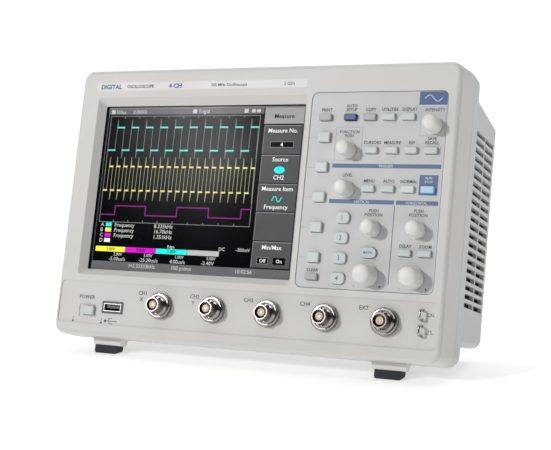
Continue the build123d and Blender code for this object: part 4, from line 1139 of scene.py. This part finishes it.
@dataclass
class DustScreens:
    """Dark sheets that lie close behind the side vents: painted shade that makes the vent slots read dark."""

    shop: Workshop
    front: float = 37.5
    back_margin: float = 5.0
    low_margin: float = 34.0
    high_margin: float = 32.0
    taper: float = 1.3
    taper_behind: float = 0.5
    wall: float = 2.8
    gap: float = 0.3
    thick: float = 0.4

    def build(self) -> None:
        """Makes one painted-shade sheet for each side, along the casing's slight taper."""
        cover = self.shop.panel.extent("rear_cover")
        half = (cover[1].x - cover[0].x) / 2
        low, high = cover[0].z + self.low_margin, cover[1].z - self.high_margin
        back = cover[1].y - self.back_margin
        near = half - self.taper - self.wall - self.gap
        far = near - self.taper_behind
        section = ((near, self.front), (far, back), (far - self.thick, back), (near - self.thick, self.front))
        for name, side in (("left", -1), ("right", 1)):
            shape = bmesh.new()
            rings = [[shape.verts.new((side * x, y, z)) for x, y in section] for z in (low, high)]
            shape.faces.new(rings[0])
            shape.faces.new(list(reversed(rings[1])))
            for i in range(4):
                after = (i + 1) % 4
                shape.faces.new((rings[0][i], rings[1][i], rings[1][after], rings[0][after]))
            bmesh.ops.recalc_face_normals(shape, faces=shape.faces)
            # Each sheet is painted shade that darkens the vent slots.
            self.shop.piece(f"vent_shade_sheet_{name}", shape, VENT_SHADE_SHEET, slot="case_rear")


# ------------------------------------------------------------------------------------------------ stage
@dataclass
class Stage:
    """Plain floor, soft studio light and the camera."""

    panel: PanelFrame
    aim: tuple[float, float, float] = (23.0, 0.0, 81.9)
    azimuth: float = 24.76
    elevation: float = 4.40
    distance: float = 0.751
    lens: float = 75.2
    room: float = 0.02
    backdrop: float = 1.05
    key_power: float = 1.2
    key_sideways: float = 0.56
    key_downwards: float = 0.24
    key_spread: float = 5.0
    overhead_power: float = 1.1
    overhead_spread: float = 70.0
    softbox_power: float = 1.0
    softbox_place: tuple[float, float, float] = (-0.9, -1.3, 0.75)
    softbox_size: float = 0.55

    def floor(self) -> None:
        """Pale floor that reads as white paper."""
        shape = bmesh.new()
        bmesh.ops.create_grid(shape, x_segments=1, y_segments=1, size=6.0)
        mesh = bpy.data.meshes.new("studio_floor")
        shape.to_mesh(mesh)
        shape.free()
        made = bpy.data.objects.new("studio_floor", mesh)
        bpy.context.scene.collection.objects.link(made)
        mesh.materials.append(STUDIO_PAPER.material())

    def light(
        self, name: str, place: Sequence[float], size: float, power: float, target: Sequence[float]
    ) -> None:
        """Adds a square area light.

        Args:
            name: Its name.
            place: Where it stands, in metres.
            size: Length of its side, in metres.
            power: Its power, in watts.
            target: The point that it faces, in metres.
        """
        data = bpy.data.lights.new(name, "AREA")
        data.size, data.energy = size, power
        lamp = bpy.data.objects.new(name, data)
        lamp.location = place
        lamp.rotation_euler = (Vector(target) - Vector(place)).to_track_quat("-Z", "Y").to_euler()
        bpy.context.scene.collection.objects.link(lamp)

    def world(self) -> None:
        """Surroundings that are white behind the instrument and dimmer towards the room in front of it."""
        made = bpy.data.worlds.new("studio_world")
        made.use_nodes = True
        nodes, links = made.node_tree.nodes, made.node_tree.links
        place = nodes.new("ShaderNodeTexCoord")
        facing = nodes.new("ShaderNodeVectorMath")
        facing.operation = "DOT_PRODUCT"
        turn = math.radians(self.azimuth)
        facing.inputs[1].default_value = (-math.sin(turn), math.cos(turn), 0.0)
        ramp = nodes.new("ShaderNodeMapRange")
        ramp.interpolation_type = "SMOOTHSTEP"
        ramp.inputs["From Min"].default_value = -0.25
        ramp.inputs["From Max"].default_value = 0.55
        ramp.inputs["To Min"].default_value = self.room
        ramp.inputs["To Max"].default_value = self.backdrop
        links.new(place.outputs["Generated"], facing.inputs[0])
        links.new(facing.outputs["Value"], ramp.inputs["Value"])
        back = nodes["Background"]
        back.inputs["Color"].default_value = (1.0, 1.0, 1.0, 1)
        links.new(ramp.outputs[0], back.inputs["Strength"])
        bpy.context.scene.world = made

    def sun(self, name: str, direction: Vector, power: float, spread: float) -> None:
        """Adds an even light from one direction.

        Args:
            name: Its name.
            direction: The way that its light travels.
            power: Its power, in watts per square metre.
            spread: Its angular size, in degrees.
        """
        data = bpy.data.lights.new(name, "SUN")
        data.energy, data.angle = power, math.radians(spread)
        lamp = bpy.data.objects.new(name, data)
        lamp.rotation_euler = direction.to_track_quat("-Z", "Y").to_euler()
        bpy.context.scene.collection.objects.link(lamp)

    def lights(self) -> None:
        """A key light from the upper left front with a softbox beside it, and an even light from overhead."""
        travel = self.panel.right * self.key_sideways + self.panel.back - self.panel.up * self.key_downwards
        self.sun("key_light", travel, self.key_power, self.key_spread)
        self.sun("overhead_light", Vector((0.0, 0.0, -1.0)), self.overhead_power, self.overhead_spread)
        self.light("softbox", self.softbox_place, self.softbox_size, self.softbox_power, (0, 0, 0.1))

    def camera(self) -> None:
        """Camera at the given azimuth, elevation and distance from its aim on the front face."""
        target = self.panel.matrix @ Vector(self.aim)
        azimuth, elevation = math.radians(self.azimuth), math.radians(self.elevation)
        level = math.cos(elevation)
        away = Vector((math.sin(azimuth) * level, -math.cos(azimuth) * level, math.sin(elevation)))
        data = bpy.data.cameras.new("camera")
        data.lens = self.lens
        made = bpy.data.objects.new("camera", data)
        made.location = target + away * self.distance
        made.rotation_euler = (-away).to_track_quat("-Z", "Y").to_euler()
        bpy.context.scene.collection.objects.link(made)
        bpy.context.scene.camera = made

    def build(self) -> None:
        """Sets the stage."""
        bpy.context.scene.view_settings.view_transform = "Standard"
        self.floor()
        self.world()
        self.lights()
        self.camera()


# ------------------------------------------------------------------------------------------------ main
def finish_of(node: str) -> Finish:
    """The finish of a CAD node, by its name."""
    if node in NODE_FINISHES:
        return NODE_FINISHES[node]
    return KNOB_WHITE if node.endswith("_knob") else KEY_WHITE


def dress(nodes: Iterable[tuple[str, bpy.types.Object]]) -> None:
    """Gives every CAD node its finish.

    Args:
        nodes: Names and objects of the CAD nodes.
    """
    for name, node in nodes:
        material = finish_of(name).material()
        for slot in node.material_slots:
            slot.material = material
        if not node.material_slots:
            node.data.materials.append(material)


def main() -> None:
    """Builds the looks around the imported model."""
    logging.basicConfig(level=logging.INFO, format="%(message)s")
    for data in (bpy.data.objects, bpy.data.meshes, bpy.data.lights, bpy.data.cameras):
        for item in list(data):
            data.remove(item)
    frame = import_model()
    for grain in (MOULDED_GRAIN, BRUSHED_GRAIN):
        grain.build()
    panel = PanelFrame(frame["nodes"], frame["joints"])
    shop = Workshop(panel)
    Stage(panel).build()
    dress(frame["nodes"].items())
    Display(shop).build()
    ControlLegends(shop).build()
    BezelPrinting(shop).build()
    maker = KnobMaker(shop)
    for node in sorted(frame["nodes"]):
        if node.endswith("_knob"):
            maker.build(node)
    SocketTrim(shop).build()
    DustScreens(shop).build()


if __name__ == "__main__":
    main()
